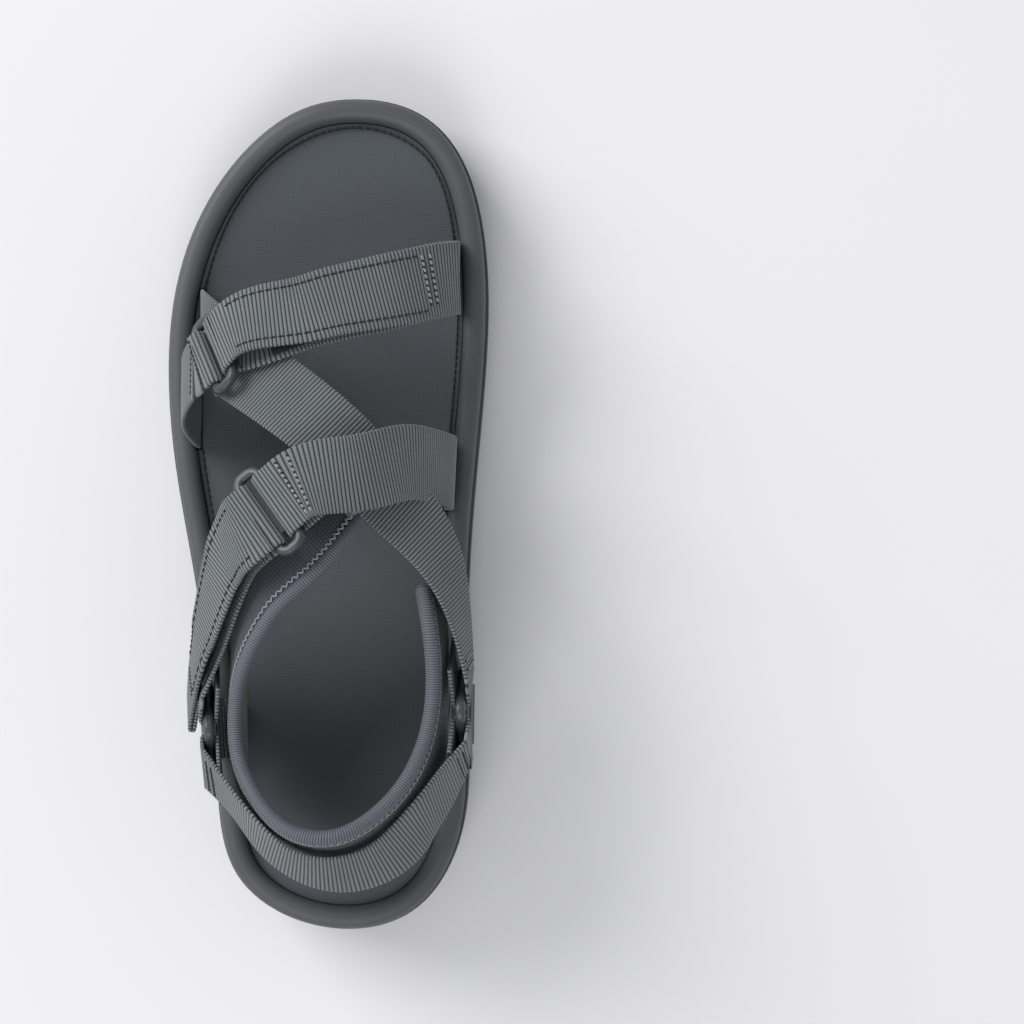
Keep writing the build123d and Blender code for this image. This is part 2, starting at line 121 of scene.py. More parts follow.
# ---- the sole: height of its rim along it, and its outline ----
CREST = [(-152, 41.5), (-100, 40), (-50, 36), (0, 31.5), (50, 28), (90, 28.5), (152, 36)]
OUTLINE = [
    (14.0, 142.5), (42.0, 129.0), (53.5, 99.0), (55.2, 62.0), (50.5, 4.0), (48.2, -42.0),
    (48.0, -95.0), (39.0, -129.0), (7.0, -142.5), (-27.0, -130.0), (-37.5, -95.0), (-44.5, -32.0),
    (-52.5, 12.0), (-55.8, 48.0), (-50.0, 90.0), (-24.5, 129.5),
]


# ---- lines and frames ----
def unit(v):
    """Vectors scaled to length one."""
    v = np.asarray(v, float)
    return v / np.linalg.norm(v, axis=-1, keepdims=True)


class Spline:
    """A cubic spline through points, open or closed, read by its chord-length share."""

    def __init__(self, points, closed=False):
        points = np.array(points, float)
        if closed:
            points = np.vstack([points, points[:1]])
        gaps = np.linalg.norm(np.diff(points, axis=0), axis=1)
        count = len(points)
        system = np.zeros((count, count))
        right = np.zeros_like(points)
        for i in range(1, count - 1):
            system[i, i - 1] = gaps[i - 1]
            system[i, i] = 2 * (gaps[i - 1] + gaps[i])
            system[i, i + 1] = gaps[i]
            rise_after = (points[i + 1] - points[i]) / gaps[i]
            rise_before = (points[i] - points[i - 1]) / gaps[i - 1]
            right[i] = 6 * (rise_after - rise_before)
        if closed:
            system[0, 0] = 1
            system[0, -1] = -1
            system[-1, 0] = 2 * gaps[0]
            system[-1, 1] = gaps[0]
            system[-1, -1] = 2 * gaps[-1]
            system[-1, -2] = gaps[-1]
            first = (points[1] - points[0]) / gaps[0]
            last = (points[-1] - points[-2]) / gaps[-1]
            right[-1] = 6 * (first - last)
        else:
            system[0, 0] = 1
            system[-1, -1] = 1
        self.points = points
        self.gaps = gaps
        self.knots = np.concatenate([[0], np.cumsum(gaps)])
        self.bends = np.linalg.solve(system, right)

    def at(self, share):
        """Points at shares of the curve from 0 to 1."""
        place = np.clip(np.asarray(share, float), 0, 1) * self.knots[-1]
        i = np.clip(np.searchsorted(self.knots, place, "right") - 1, 0, len(self.gaps) - 1)
        gap = self.gaps[i][..., None]
        b = (place - self.knots[i])[..., None] / gap
        a = 1 - b
        curve = a * self.points[i] + b * self.points[i + 1]
        bend = (a**3 - a) * self.bends[i] + (b**3 - b) * self.bends[i + 1]
        return curve + bend * gap**2 / 6


class Path:
    """The middle line of a strap: points, the outward normal and the direction across it."""

    def __init__(self, points, normals, across=None, start=0.0):
        self.points = np.asarray(points, float)
        tangents = unit(np.gradient(self.points, axis=0))
        if across is None:
            across = np.cross(tangents, np.asarray(normals, float))
        self.across = unit(across)
        self.normals = unit(np.cross(self.across, tangents))
        steps = np.linalg.norm(np.diff(self.points, axis=0), axis=1)
        self.lengths = start + np.concatenate([[0], np.cumsum(steps)])

    @property
    def start(self):
        return self.lengths[0]

    @property
    def end(self):
        return self.lengths[-1]

    def sample(self, lengths):
        """Points, normals and across directions at lengths along the path."""
        found = []
        for values in (self.points, self.normals, self.across):
            columns = [np.interp(lengths, self.lengths, values[:, k]) for k in range(3)]
            found.append(np.stack(columns, axis=-1))
        return found[0], unit(found[1]), unit(found[2])

    def cut(self, start, end):
        """The stretch between two lengths, which keeps its own measure of length."""
        lengths = np.linspace(start, end, max(3, int((end - start) / PATH_STEP)))
        points, normals, across = self.sample(lengths)
        return Path(points, normals, across, start)

    def lifted(self, lift):
        """The path moved out along its normals."""
        return Path(self.points + self.normals * lift, self.normals, self.across)

    def reversed(self):
        return Path(self.points[::-1], self.normals[::-1], -self.across[::-1])


def joined(*paths):
    """One path from several that meet end to end."""
    points, normals, across = [], [], []
    for path in paths:
        skip = 1 if points else 0
        points.append(path.points[skip:])
        normals.append(path.normals[skip:])
        across.append(path.across[skip:])
    return Path(np.vstack(points), np.vstack(normals), np.vstack(across))


def course(route, lift=0.0, start=0.0, finish=1.0):
    """The path of a strap through stations, each a point and its outward normal."""
    points = np.array([p for p, _ in route])
    normals = np.array([n for _, n in route])
    middle = Spline(points)
    outer = Spline(points + normals * 10)
    span = middle.knots[-1] * (finish - start)
    share = np.linspace(start, finish, max(8, int(span / PATH_STEP)))
    line = middle.at(share)
    path = Path(line, outer.at(share) - line)
    return path.lifted(lift) if lift else path


def layer_stations(route, lift, start, finish, steps):
    """Stations of a second layer over a strap."""
    dense = course(route)
    line = Spline([p for p, _ in route]).at(np.linspace(start, finish, steps + 1))
    nearest = [int(np.argmin(np.linalg.norm(dense.points - p, axis=1))) for p in line]
    return [(p + n * lift, n) for p, n in zip(line, dense.normals[nearest])]


# ---- the foot form that the straps lie over ----
def crest(y):
    """Height of the sole's rim at a station along it."""
    ys = [p[0] for p in CREST]
    zs = [p[1] for p in CREST]
    return float(np.interp(y, ys, zs))


def last_point(degrees, y):
    """A point of the form: 0 degrees at the medial wall, 90 on the ridge, 180 lateral."""
    medial = 37.35 + 0.05 * y
    lateral = -42.2
    rise = min(max((80.0 - y) / 70.0, 0.0), 1.0)
    top = LAST_LOW + (LAST_HIGH - LAST_LOW) * rise * rise * (3 - 2 * rise)
    side = math.cos(math.radians(degrees))
    height = math.sin(math.radians(degrees))
    foot = crest(y) - CUP_DEPTH
    x = (medial + lateral) / 2 + (medial - lateral) / 2 * math.copysign(abs(side) ** (2 / LAST_ROUND), side)
    return np.array([x, y, foot + (top - foot) * height ** (2 / LAST_ROUND)])


def on_last(degrees, y, lift):
    """A station lifted off the form, and the outward normal there."""
    around = last_point(min(degrees + 1, 179.9), y) - last_point(max(degrees - 1, 0.1), y)
    along = last_point(degrees, y + 1) - last_point(degrees, y - 1)
    normal = unit(np.cross(along, around))
    return last_point(degrees, y) + normal * lift, normal


def on_last_all(*places, lift):
    """Stations lifted off the form at several angles and places along it."""
    return [on_last(degrees, y, lift) for degrees, y in places]


def station(point, normal):
    return np.array(point, float), unit(normal)


def wall_tail(x, y, outward):
    """Stations that carry webbing up out of its slot beside the rim."""
    footbed = crest(y) - CUP_DEPTH
    return [station((x, y, footbed + up), (outward, 0, 0)) for up in (-SLOT_DEPTH, -SLOT_DEPTH / 2, 1)]


class Bar:
    """One bar of a ring: x leads away to the webbing, y to the outer side, z along the bar."""

    def __init__(self, centre, along, away):
        self.centre = np.asarray(centre, float)
        self.z = unit(along)
        self.x = unit(away)
        self.y = np.cross(self.z, self.x)

    def leg(self, side, length):
        """The station where a webbing leg leaves the fold round the bar."""
        return self.centre + self.x * length + self.y * side * FOLD_RADIUS, self.y

    def fold(self, side, leg_in, leg_out):
        """The path of webbing that comes in on one side, turns round the bar and goes back."""
        turns = np.radians(np.linspace(0, 180, 25))
        rise = np.concatenate([[1, 1], np.cos(turns), [-1, -1]])[:, None] * side
        run = np.concatenate([[0, 0], np.sin(turns), [0, 0]])[:, None]
        away = np.zeros(len(turns) + 4)
        away[:2] = (leg_in, leg_in / 2)
        away[-2:] = (leg_out / 2, leg_out)
        radial = self.y * rise - self.x * run
        points = self.centre + self.x * away[:, None] + radial * FOLD_RADIUS
        across = np.tile(-self.z, (len(points), 1))
        return Path(points, radial * side, across)


def ring_frame(normal, along):
    """Directions along and across a ring, squared up to its normal."""
    along = unit(along - normal * np.dot(along, normal))
    return along, np.cross(normal, along)


def side_bar(start, finish, away):
    """The bar along one side of a three-sided ring."""
    start, finish, away = (np.array(v, float) for v in (start, finish, away))
    along = unit(finish - start)
    return Bar((start + finish) / 2, along, away - along * np.dot(away, along))


# ---- ring places ----
forefoot_middle, forefoot_normal = on_last(133, 50.6, OVER_LIFT + FOLD_RADIUS)
forefoot_along, forefoot_across = ring_frame(forefoot_normal, np.array([0.36, -0.7, 0.61]))
FOREFOOT_BAR = Bar(forefoot_middle + forefoot_across * RING_PITCH / 2, forefoot_along, forefoot_across)
ANCHOR_BAR = Bar(forefoot_middle - forefoot_across * RING_PITCH / 2, -forefoot_along, -forefoot_across)
instep_middle = np.array([-14.6, 0.2, 91.0])
instep_along, instep_across = ring_frame(unit([-0.34, 0.22, 0.91]), np.array([0.64, -0.77, 0]))
INSTEP_BAR = Bar(instep_middle + instep_across * RING_PITCH / 2, instep_along, instep_across)
ANKLE_BAR = Bar(instep_middle - instep_across * RING_PITCH / 2, -instep_along, -instep_across)
MEDIAL_RING = [(48.0, -50.0, 45.5), (47.5, -86.5, 47.5), (46.5, -65.0, 79.0)]
LATERAL_RING = [(-39.5, -55.5, 45.0), (-37.0, -91.5, 47.0), (-35.5, -71.0, 78.5)]
MEDIAL_FRONT = side_bar(MEDIAL_RING[2], MEDIAL_RING[0], (-0.1, 0.88, 0.43))
MEDIAL_REAR = side_bar(MEDIAL_RING[1], MEDIAL_RING[2], (-0.1, -0.82, 0.57))
MEDIAL_FOOT = side_bar(MEDIAL_RING[0], MEDIAL_RING[1], (-0.7, 0, -0.7))
LATERAL_FRONT = side_bar(LATERAL_RING[0], LATERAL_RING[2], (0.1, 0.88, 0.43))
LATERAL_REAR = side_bar(LATERAL_RING[2], LATERAL_RING[1], (0.1, -0.82, 0.57))
LATERAL_FOOT = side_bar(LATERAL_RING[1], LATERAL_RING[0], (0.7, 0, -0.7))

# ---- strap routes ----
FOREFOOT_ROUTE = [
    *wall_tail(44.2, 81.0, 1),
    *on_last_all((14, 80.6), (32, 79), (52, 75), (74, 69.4), (96, 62.6), (114, 56.8), lift=OVER_LIFT),
    FOREFOOT_BAR.leg(-1, EYE_LEG),
]
FOREFOOT_FLAP_ROUTE = [
    FOREFOOT_BAR.leg(1, HINGE_LEG),
    FOREFOOT_BAR.leg(1, EYE_LEG - 1),
    FOREFOOT_BAR.leg(1, EYE_LEG + 1),
    *layer_stations(FOREFOOT_ROUTE, FLAP_LIFT, 0.78, 0.3, 7),
]
ANCHOR_ROUTE = [
    *wall_tail(-44.6, 34.5, -1),
    on_last(164, 39.0, OVER_LIFT + FOLD_RADIUS),
    ANCHOR_BAR.leg(1, EYE_LEG),
]
CROSS_ROUTE = [
    *wall_tail(-43.3, 64.5, -1),
    *on_last_all((166, 63), (142, 55.5), (113, 43.5), (79, 22), (60, 9), lift=LOW_LIFT),
    station((41.0, -17.0, 71.0), (0.85, 0.1, 0.45)),
    station((46.2, -33.0, 67.0), (0.95, 0.1, 0.25)),
    MEDIAL_FRONT.leg(1, EYE_LEG),
]
INSTEP_ROUTE = [
    *wall_tail(40.8, 13.0, 1),
    *on_last_all((14, 13.4), (34, 15), lift=OVER_LIFT + 2.3),
    on_last(54, 15.6, OVER_LIFT + 2.9),
    on_last(75, 12, OVER_LIFT + 5.0),
    INSTEP_BAR.leg(1, EYE_LEG + 3),
    INSTEP_BAR.leg(1, EYE_LEG),
]
ANKLE_ROUTE = [
    ANKLE_BAR.leg(-1, EYE_LEG),
    station((-24.0, -11.0, 82.0), (-0.6, 0.3, 0.74)),
    station((-29.8, -25.0, 75.0), (-0.8, 0.22, 0.55)),
    station((-34.6, -41.0, 67.5), (-0.93, 0.1, 0.36)),
    LATERAL_FRONT.leg(1, EYE_LEG),
]
ANKLE_FLAP_ROUTE = [
    ANKLE_BAR.leg(1, HINGE_LEG),
    ANKLE_BAR.leg(1, EYE_LEG - 1),
    ANKLE_BAR.leg(1, EYE_LEG + 1),
    *layer_stations(ANKLE_ROUTE, FLAP_LIFT, 0.22, 0.76, 6),
    station((-42.6, -55.0, 60.5), (-0.97, 0.05, 0.2)),
    station((-44.6, -67.0, 54.5), (-0.98, 0.05, 0.15)),
]
MEDIAL_ANCHOR_ROUTE = [
    *wall_tail(38.4, -67.0, 1),
    station((38.6, -67.0, 38.0), (1, 0, 0.1)),
    MEDIAL_FOOT.leg(1, EYE_LEG),
]
LATERAL_ANCHOR_ROUTE = [
    *wall_tail(-29.0, -75.0, -1),
    station((-29.4, -74.5, 38.5), (-1, 0, 0.1)),
    LATERAL_FOOT.leg(1, EYE_LEG),
]
HEEL_ROUTE = [
    MEDIAL_REAR.leg(1, EYE_LEG),
    station((41.5, -91.0, 70.5), (0.8, -0.42, 0.42)),
    station((34.5, -101.0, 76.0), (0.56, -0.6, 0.58)),
    station((22.5, -113.2, 79.5), (0.28, -0.74, 0.6)),
    station((5.0, -118.2, 80.5), (0, -0.84, 0.54)),
    station((-10.3, -113.6, 79.3), (-0.42, -0.8, 0.44)),
    station((-22.0, -103.0, 76.5), (-0.68, -0.62, 0.38)),
    station((-30.5, -93.0, 71.0), (-0.87, -0.42, 0.26)),
    LATERAL_REAR.leg(1, EYE_LEG),
]

# ---- the collar's upper edge, where the binding sits, and its hem ----
COLLAR_EDGES = [
    ((12.5, -4.0, 81.0), (5.0, 3.0, 79.5)),
    ((-0.9, -20.5, 88.0), (-13.0, -9.0, 80.5)),
    ((-11.9, -30.5, 88.0), (-21.5, -21.5, 77.0)),
    ((-19.0, -40.7, 86.0), (-27.0, -34.5, 68.0)),
    ((-24.0, -51.0, 81.0), (-28.5, -49.0, 58.0)),
    ((-27.1, -66.0, 76.0), (-28.0, -67.0, 50.0)),
    ((-26.0, -79.0, 78.0), (-28.0, -83.0, 50.0)),
    ((-19.0, -93.0, 86.0), (-23.0, -100.0, 50.0)),
    ((-6.1, -103.3, 94.0), (-8.0, -112.0, 49.0)),
    ((6.0, -104.2, 96.0), (8.0, -118.0, 48.0)),
    ((19.0, -98.0, 92.0), (23.5, -112.0, 48.0)),
    ((29.0, -87.5, 86.0), (35.5, -99.0, 48.0)),
    ((36.0, -71.0, 78.0), (40.0, -78.0, 51.0)),
    ((37.8, -56.0, 77.5), (40.0, -57.0, 51.0)),
    ((37.0, -42.0, 79.0), (40.5, -41.0, 54.0)),
    ((35.3, -31.0, 77.0), (38.5, -30.5, 60.0)),
    ((34.0, -23.5, 73.5), (36.8, -23.0, 61.0)),
]


def collar_frames(steps):
    """Across the collar wall at each step: its upper edge, and up, outward and along."""
    top = Spline([upper for upper, _ in COLLAR_EDGES])
    hem = Spline([lower for _, lower in COLLAR_EDGES])
    share = np.linspace(0, 1, steps)
    edge = top.at(share)
    rise = edge - hem.at(share)
    along = unit(unit(np.gradient(edge, axis=0)) + unit(np.gradient(hem.at(share), axis=0)))
    height = np.linalg.norm(rise, axis=1)
    up = unit(rise - along * np.sum(rise * along, axis=1, keepdims=True))
    return edge, up, np.cross(along, up), along, height


# ---- colours ----
def linear(code):
    """A #rrggbb colour as linear red, green and blue."""
    parts = [int(code[i : i + 2], 16) / 255 for i in (1, 3, 5)]
    return tuple(c / 12.92 if c <= 0.04045 else ((c + 0.055) / 1.055) ** 2.4 for c in parts)


def colour(name, description, code):
    return bpy.props.FloatVectorProperty(
        name=name, description=description, subtype="COLOR", size=3, min=0, max=1, default=linear(code)
    )


def length(name, description, size, least, most):
    return bpy.props.FloatProperty(
        name=name,
        description=description,
        default=size * MM,
        min=least * MM,
        max=most * MM,
        precision=5,
        subtype="DISTANCE",
        unit="LENGTH",
    )


class SandalSizes(bpy.types.PropertyGroup):
    """Sizes of the woven, sewn and moulded detail."""

    rib_pitch: length("Rib pitch", "From one cross rib of the webbing to the next", 1.3, 0.6, 4)
    rib_depth: length("Rib depth", "How deep the grooves between the ribs are", 0.24, 0, 0.6)
    binding_pitch: length("Binding rib pitch", "From rib to rib of the elastic binding", 0.85, 0.4, 3)
    thread: length("Thread diameter", "Thickness of the sewing thread", 0.62, 0.2, 1.5)
    stitch: length("Stitch length", "From one needle hole to the next", 2.6, 1, 6)
    swell: length("Collar swell", "The most that the collar padding rises between its seams", 1.0, 0, 4)


class SandalColours(bpy.types.PropertyGroup):
    """Colours of the sandal's materials."""

    webbing: colour("Webbing", "Tops of the webbing's ribs", "#83898b")
    # painted shade: the groove colour stands for the shade that falls between the webbing's ribs, not for a
    # darker yarn
    webbing_groove_shade: colour("Webbing groove", "Between the ribs", "#17191b")
    thread: colour("Thread", "Sewing thread", "#a4a9ac")
    # partly painted shade: the seams' thread is drawn dark so that it also stands for the shade in the groove
    # that each seam pulls into the strap
    dark_thread_and_seam_shade: colour("Dark thread", "Thread of the long seams", "#1d1f22")
    binding: colour("Binding", "Elastic collar binding", "#696d76")
    knit: colour("Collar knit", "Outer skin of the collar", "#555962")
    lining: colour("Collar lining", "Brushed inner skin of the collar", "#2c2b2a")
    midsole: colour("Midsole", "Foam rim and wall", "#525457")
    footbed: colour("Footbed", "Foam surface under the foot", "#54595d")
    tread: colour("Tread", "Rubber outsole", "#2f3133")
    ring: colour("Rings", "Moulded rings", "#414648")
    loop: colour("Loop tape", "Brushed side of the closure", "#232327")
    hook: colour("Hook tape", "Hooked side of the closure", "#26262a")
    floor: colour("Floor", "Studio floor", "#f1f0f2")


# ---- materials ----
MATH = "ShaderNodeMath"
MIX = "ShaderNodeMix"
RANGE = "ShaderNodeMapRange"
NOISE = "ShaderNodeTexNoise"
MEDIUM = {"Detail": 3.0, "Roughness": 0.55}
PLAIN = {"Detail": 2.0, "Roughness": 0.55}


def add_node(tree, kind, inputs=None, output=0, **settings):
    """Adds a shader node with its settings, fills or links its inputs, and gives one of its outputs."""
    node = tree.nodes.new(kind)
    for name, value in settings.items():
        setattr(node, name, value)
    for name, value in (inputs or {}).items():
        socket = node.inputs[name]
        if isinstance(value, bpy.types.NodeSocket):
            tree.links.new(value, socket)
        elif socket.type == "RGBA":
            socket.default_value = (*value[:3], 1)
        else:
            socket.default_value = value
    return node.outputs[output]


def start_material(name, **surface):
    """A new material's node tree and its Principled shader, with constants on its sockets."""
    material = bpy.data.materials.new(name)
    material.use_nodes = True
    tree = material.node_tree
    shader = tree.nodes["Principled BSDF"]
    for socket, value in surface.items():
        shader.inputs[socket.replace("_", " ").title().replace("Ior", "IOR")].default_value = value
    return material, tree, shader


def finish_material(tree, shader, base, roughness, height, depth_mm):
    """Links a colour, a roughness and a bump height into the shader."""
    bump = add_node(tree, "ShaderNodeBump", {"Strength": 1.0, "Distance": depth_mm * MM, "Height": height})
    for socket, value in (("Base Color", base), ("Roughness", roughness), ("Normal", bump)):
        tree.links.new(value, shader.inputs[socket])


def ridges(tree, along, pitch):
    """0 in the groove and 1 on the ridge of ribs that repeat along a length."""
    turns = add_node(tree, MATH, {0: along, 1: math.pi / pitch}, operation="MULTIPLY")
    wave = add_node(tree, MATH, {0: turns}, operation="SINE")
    return add_node(tree, MATH, {0: wave}, operation="ABSOLUTE")


def weave_lines(tree):
    """The weave coordinates of a woven piece, and its across and along parts, in metres."""
    place = add_node(tree, "ShaderNodeAttribute", output="Vector", attribute_name="weave")
    parts = add_node(tree, "ShaderNodeSeparateXYZ", {0: place}).node.outputs
    return place, parts[0], parts[1]


def shading(tree, *parts):
    """The product of several patterns, each stretched from one range to another."""
    product = None
    for value, low, high, least, most in parts:
        part = add_node(tree, RANGE, {0: value, 1: low, 2: high, 3: least, 4: most})
        product = add_node(tree, MATH, {0: product, 1: part}, operation="MULTIPLY") if product else part
    return product


def clouded(tree, pattern, low, high, shade, darkest, palest):
    """A colour that drifts with a pattern between a darker and a paler cast of one shade."""
    factor = add_node(tree, RANGE, {0: pattern, 1: low, 2: high})
    dark = [c * darkest for c in shade]
    pale = [min(1.0, c * palest) for c in shade]
    return add_node(tree, MIX, {0: factor, 6: dark, 7: pale}, 2, data_type="RGBA")


def polyester_webbing_woven(name, top, groove, pitch):
    """Woven polyester webbing: yarns wrap each cross rib, so it reads as dull ribs, with painted shade that
    darkens the grooves between them and the dips between the yarns.
    """
    material, tree, shader = start_material(
        name, specular_ior_level=0.3, sheen_weight=0.12, sheen_roughness=0.5
    )
    place, across, along = weave_lines(tree)
    ridge = ridges(tree, along, pitch)
    count = add_node(tree, MATH, {0: along, 1: pitch}, operation="DIVIDE")
    rib = add_node(tree, MATH, {0: count}, operation="FLOOR")
    shifted = add_node(tree, MATH, {0: rib, 1: YARN * MM / 2, 2: across}, operation="MULTIPLY_ADD")
    yarn = ridges(tree, shifted, YARN * MM)
    fibre = add_node(tree, NOISE, {"Vector": place, "Scale": 3.0 / MM, **MEDIUM})
    patch = add_node(tree, NOISE, {"Vector": place, "Scale": 0.05 / MM, **PLAIN})
    # painted shade: darker in the grooves between the ribs and in the dips between the yarns, mixed towards
    # the groove colour
    shade = shading(
        tree,
        (ridge, 0.1, 0.85, 0.0, 1.0),
        (yarn, 0.0, 0.8, 0.62, 1.0),
        (fibre, 0.3, 0.7, 0.78, 1.08),
        (patch, 0.3, 0.7, 0.9, 1.05),
    )
    base = add_node(tree, MIX, {0: shade, 6: groove, 7: top}, 2, data_type="RGBA")
    fuzz = add_node(tree, MATH, {0: fibre, 1: 0.5}, operation="MULTIPLY")
    height = add_node(tree, MATH, {0: yarn, 1: 0.7, 2: fuzz}, operation="MULTIPLY_ADD")
    roughness = add_node(tree, RANGE, {0: fibre, 1: 0.3, 2: 0.7, 3: 0.7, 4: 0.86})
    finish_material(tree, shader, base, roughness, height, 0.16)
    return material


def polyester_thread_spun(name, shade):
    """Twisted polyester thread: fine slanted plies that catch small lights."""
    material, tree, shader = start_material(name, specular_ior_level=0.4, sheen_weight=0.1)
    _, across, along = weave_lines(tree)
    slant = add_node(tree, MATH, {0: across, 1: along}, operation="ADD")
    plies = ridges(tree, slant, PLY * MM)
    base = clouded(tree, plies, 0, 1, shade, 0.55, 1)
    roughness = add_node(tree, RANGE, {0: plies, 3: 0.75, 4: 0.55})
    finish_material(tree, shader, base, roughness, plies, 0.08)
    return material


def elastic_tape_ribbed(name, shade, pitch):
    """Ribbed elastic tape: fine cross ribs with a faint silky gloss on their tops, and painted shade that
    darkens the grooves between them.
    """
    material, tree, shader = start_material(
        name, specular_ior_level=0.45, sheen_weight=0.15, sheen_roughness=0.4
    )
    place, _, along = weave_lines(tree)
    ridge = ridges(tree, along, pitch)
    fibre = add_node(tree, NOISE, {"Vector": place, "Scale": 2.0 / MM, **MEDIUM})
    # painted shade: the colour falls towards a third of the binding colour in the grooves between the ribs
    tone = shading(tree, (ridge, 0.15, 0.9, 0.1, 1.0), (fibre, 0.3, 0.7, 0.85, 1.1))
    base = clouded(tree, tone, 0, 1, shade, 0.3, 1)
    roughness = add_node(tree, RANGE, {0: ridge, 3: 0.8, 4: 0.5})
    finish_material(tree, shader, base, roughness, fibre, 0.06)
    return material


def polyester_knit_laminated(name, shade):
    """Fine knit over foam: small loops in offset rows, soft and slightly mottled."""
    material, tree, shader = start_material(
        name, specular_ior_level=0.25, sheen_weight=0.2, sheen_roughness=0.5
    )
    place, across, along = weave_lines(tree)
    wale = ridges(tree, along, KNIT_WALE * MM)
    offset = add_node(tree, MATH, {0: wale, 1: KNIT_OFFSET * MM, 2: across}, operation="MULTIPLY_ADD")
    loops = add_node(tree, MATH, {0: wale, 1: ridges(tree, offset, KNIT_ROW * MM)}, operation="MULTIPLY")
    fibre = add_node(tree, NOISE, {"Vector": place, "Scale": 1.6 / MM, **MEDIUM})
    tone = shading(tree, (loops, 0.05, 0.8, 0.4, 1.0), (fibre, 0.3, 0.7, 0.7, 1.15))
    base = clouded(tree, tone, 0, 1, shade, 0.25, 1)
    roughness = add_node(tree, RANGE, {0: fibre, 1: 0.3, 2: 0.7, 3: 0.8, 4: 0.95})
    finish_material(tree, shader, base, roughness, loops, 0.25)
    return material


def polyester_felt_brushed(name, shade):
    """Brushed lining: a short nap with no visible weave."""
    material, tree, shader = start_material(
        name, specular_ior_level=0.15, sheen_weight=0.35, sheen_roughness=0.6
    )
    place = add_node(tree, "ShaderNodeTexCoord", output="Object")
    nap = add_node(tree, NOISE, {"Vector": place, "Scale": 1.2 / MM, "Detail": 5.0, "Roughness": 0.7})
    base = clouded(tree, nap, 0.3, 0.7, shade, 0.5, 1.35)
    roughness = add_node(tree, RANGE, {0: nap, 3: 0.85, 4: 1.0})
    finish_material(tree, shader, base, roughness, nap, 0.4)
    return material


def nylon_tape_pile(name, shade):
    """Nylon closure tape: dark matted filament with pin-sharp glints on single loops."""
    material, tree, shader = start_material(name, specular_ior_level=0.5, sheen_weight=0.2)
    place = add_node(tree, "ShaderNodeTexCoord", output="Object")
    matted = {"Vector": place, "Scale": 2.4 / MM, "Detail": 4.0, "Roughness": 0.7}
    filament = add_node(tree, NOISE, matted)
    base = clouded(tree, filament, 0.35, 0.68, shade, 0.35, 1.6)
    roughness = add_node(tree, RANGE, {0: filament, 1: 0.3, 2: 0.7, 3: 0.85, 4: 0.5})
    finish_material(tree, shader, base, roughness, filament, 0.2)
    return material


def eva_foam_moulded(name, shade):
    """Moulded EVA foam: a satin skin with faint mould grain, and a painted highlight that makes its sharp
    convex edges paler.
    """
    material, tree, shader = start_material(name, specular_ior_level=0.42, ior=1.48)
    place = add_node(tree, "ShaderNodeTexCoord", output="Object")
    grain = add_node(tree, NOISE, {"Vector": place, "Scale": 1.8 / MM, "Detail": 3.0, "Roughness": 0.6})
    cloud = add_node(tree, NOISE, {"Vector": place, "Scale": 0.03 / MM, **PLAIN})
    edge = add_node(tree, "ShaderNodeNewGeometry", output="Pointiness")
    # painted highlight: sharp convex edges (high pointiness) are mixed towards a paler colour, as if lit
    edge_highlight = add_node(tree, RANGE, {0: edge, 1: 0.5, 2: 0.56, 3: 0.0, 4: 0.25})
    base = clouded(tree, cloud, 0.3, 0.7, shade, 0.93, 1.07)
    edge_highlight_colour = [min(1.0, c * 1.5) for c in shade]
    base = add_node(tree, MIX, {0: edge_highlight, 6: base, 7: edge_highlight_colour}, 2, data_type="RGBA")
    roughness = add_node(tree, RANGE, {0: grain, 1: 0.3, 2: 0.7, 3: 0.42, 4: 0.56})
    finish_material(tree, shader, base, roughness, grain, 0.035)
    return material


def eva_foam_embossed(name, shade):
    """Embossed EVA footbed: a linen-like cross-hatch that breaks up the shine."""
    material, tree, shader = start_material(name, specular_ior_level=0.3, ior=1.48)
    place = add_node(tree, "ShaderNodeTexCoord", output="Object")
    parts = add_node(tree, "ShaderNodeSeparateXYZ", {0: place}).node.outputs
    wander = add_node(tree, NOISE, {"Vector": place, "Scale": 0.35 / MM, **PLAIN})
    lines = []
    for part, pitch in ((parts[1], LINEN_WEFT), (parts[0], LINEN_WARP)):
        drifted = {0: wander, 1: LINEN_DRIFT * MM, 2: part}
        lines.append(ridges(tree, add_node(tree, MATH, drifted, operation="MULTIPLY_ADD"), pitch * MM))
    hatch = add_node(tree, MATH, {0: lines[1], 1: 0.6, 2: lines[0]}, operation="MULTIPLY_ADD")
    stretched = add_node(tree, "ShaderNodeMapping", {"Vector": place, "Scale": (0.25, 1.0, 1.0)})
    slub = add_node(tree, NOISE, {"Vector": stretched, "Scale": 1.3 / MM, "Detail": 3.0, "Roughness": 0.6})
    cloth = add_node(tree, MATH, {0: hatch, 1: slub}, operation="MULTIPLY")
    base = clouded(tree, cloth, 0.2, 0.9, shade, 0.94, 1.08)
    roughness = add_node(tree, RANGE, {0: slub, 1: 0.3, 2: 0.7, 3: 0.62, 4: 0.78})
    finish_material(tree, shader, base, roughness, cloth, 0.08)
    return material


def rubber_moulded(name, shade):
    """Moulded carbon rubber: darker and duller than the foam, with a dusty bloom."""
    material, tree, shader = start_material(name, specular_ior_level=0.35)
    place = add_node(tree, "ShaderNodeTexCoord", output="Object")
    bloom = add_node(tree, NOISE, {"Vector": place, "Scale": 0.08 / MM, "Detail": 4.0, "Roughness": 0.55})
    grain = add_node(tree, NOISE, {"Vector": place, "Scale": 2.2 / MM, **PLAIN})
    base = clouded(tree, bloom, 0.35, 0.7, shade, 1, 1.35)
    roughness = add_node(tree, RANGE, {0: bloom, 1: 0.3, 2: 0.7, 3: 0.62, 4: 0.8})
    finish_material(tree, shader, base, roughness, grain, 0.04)
    return material


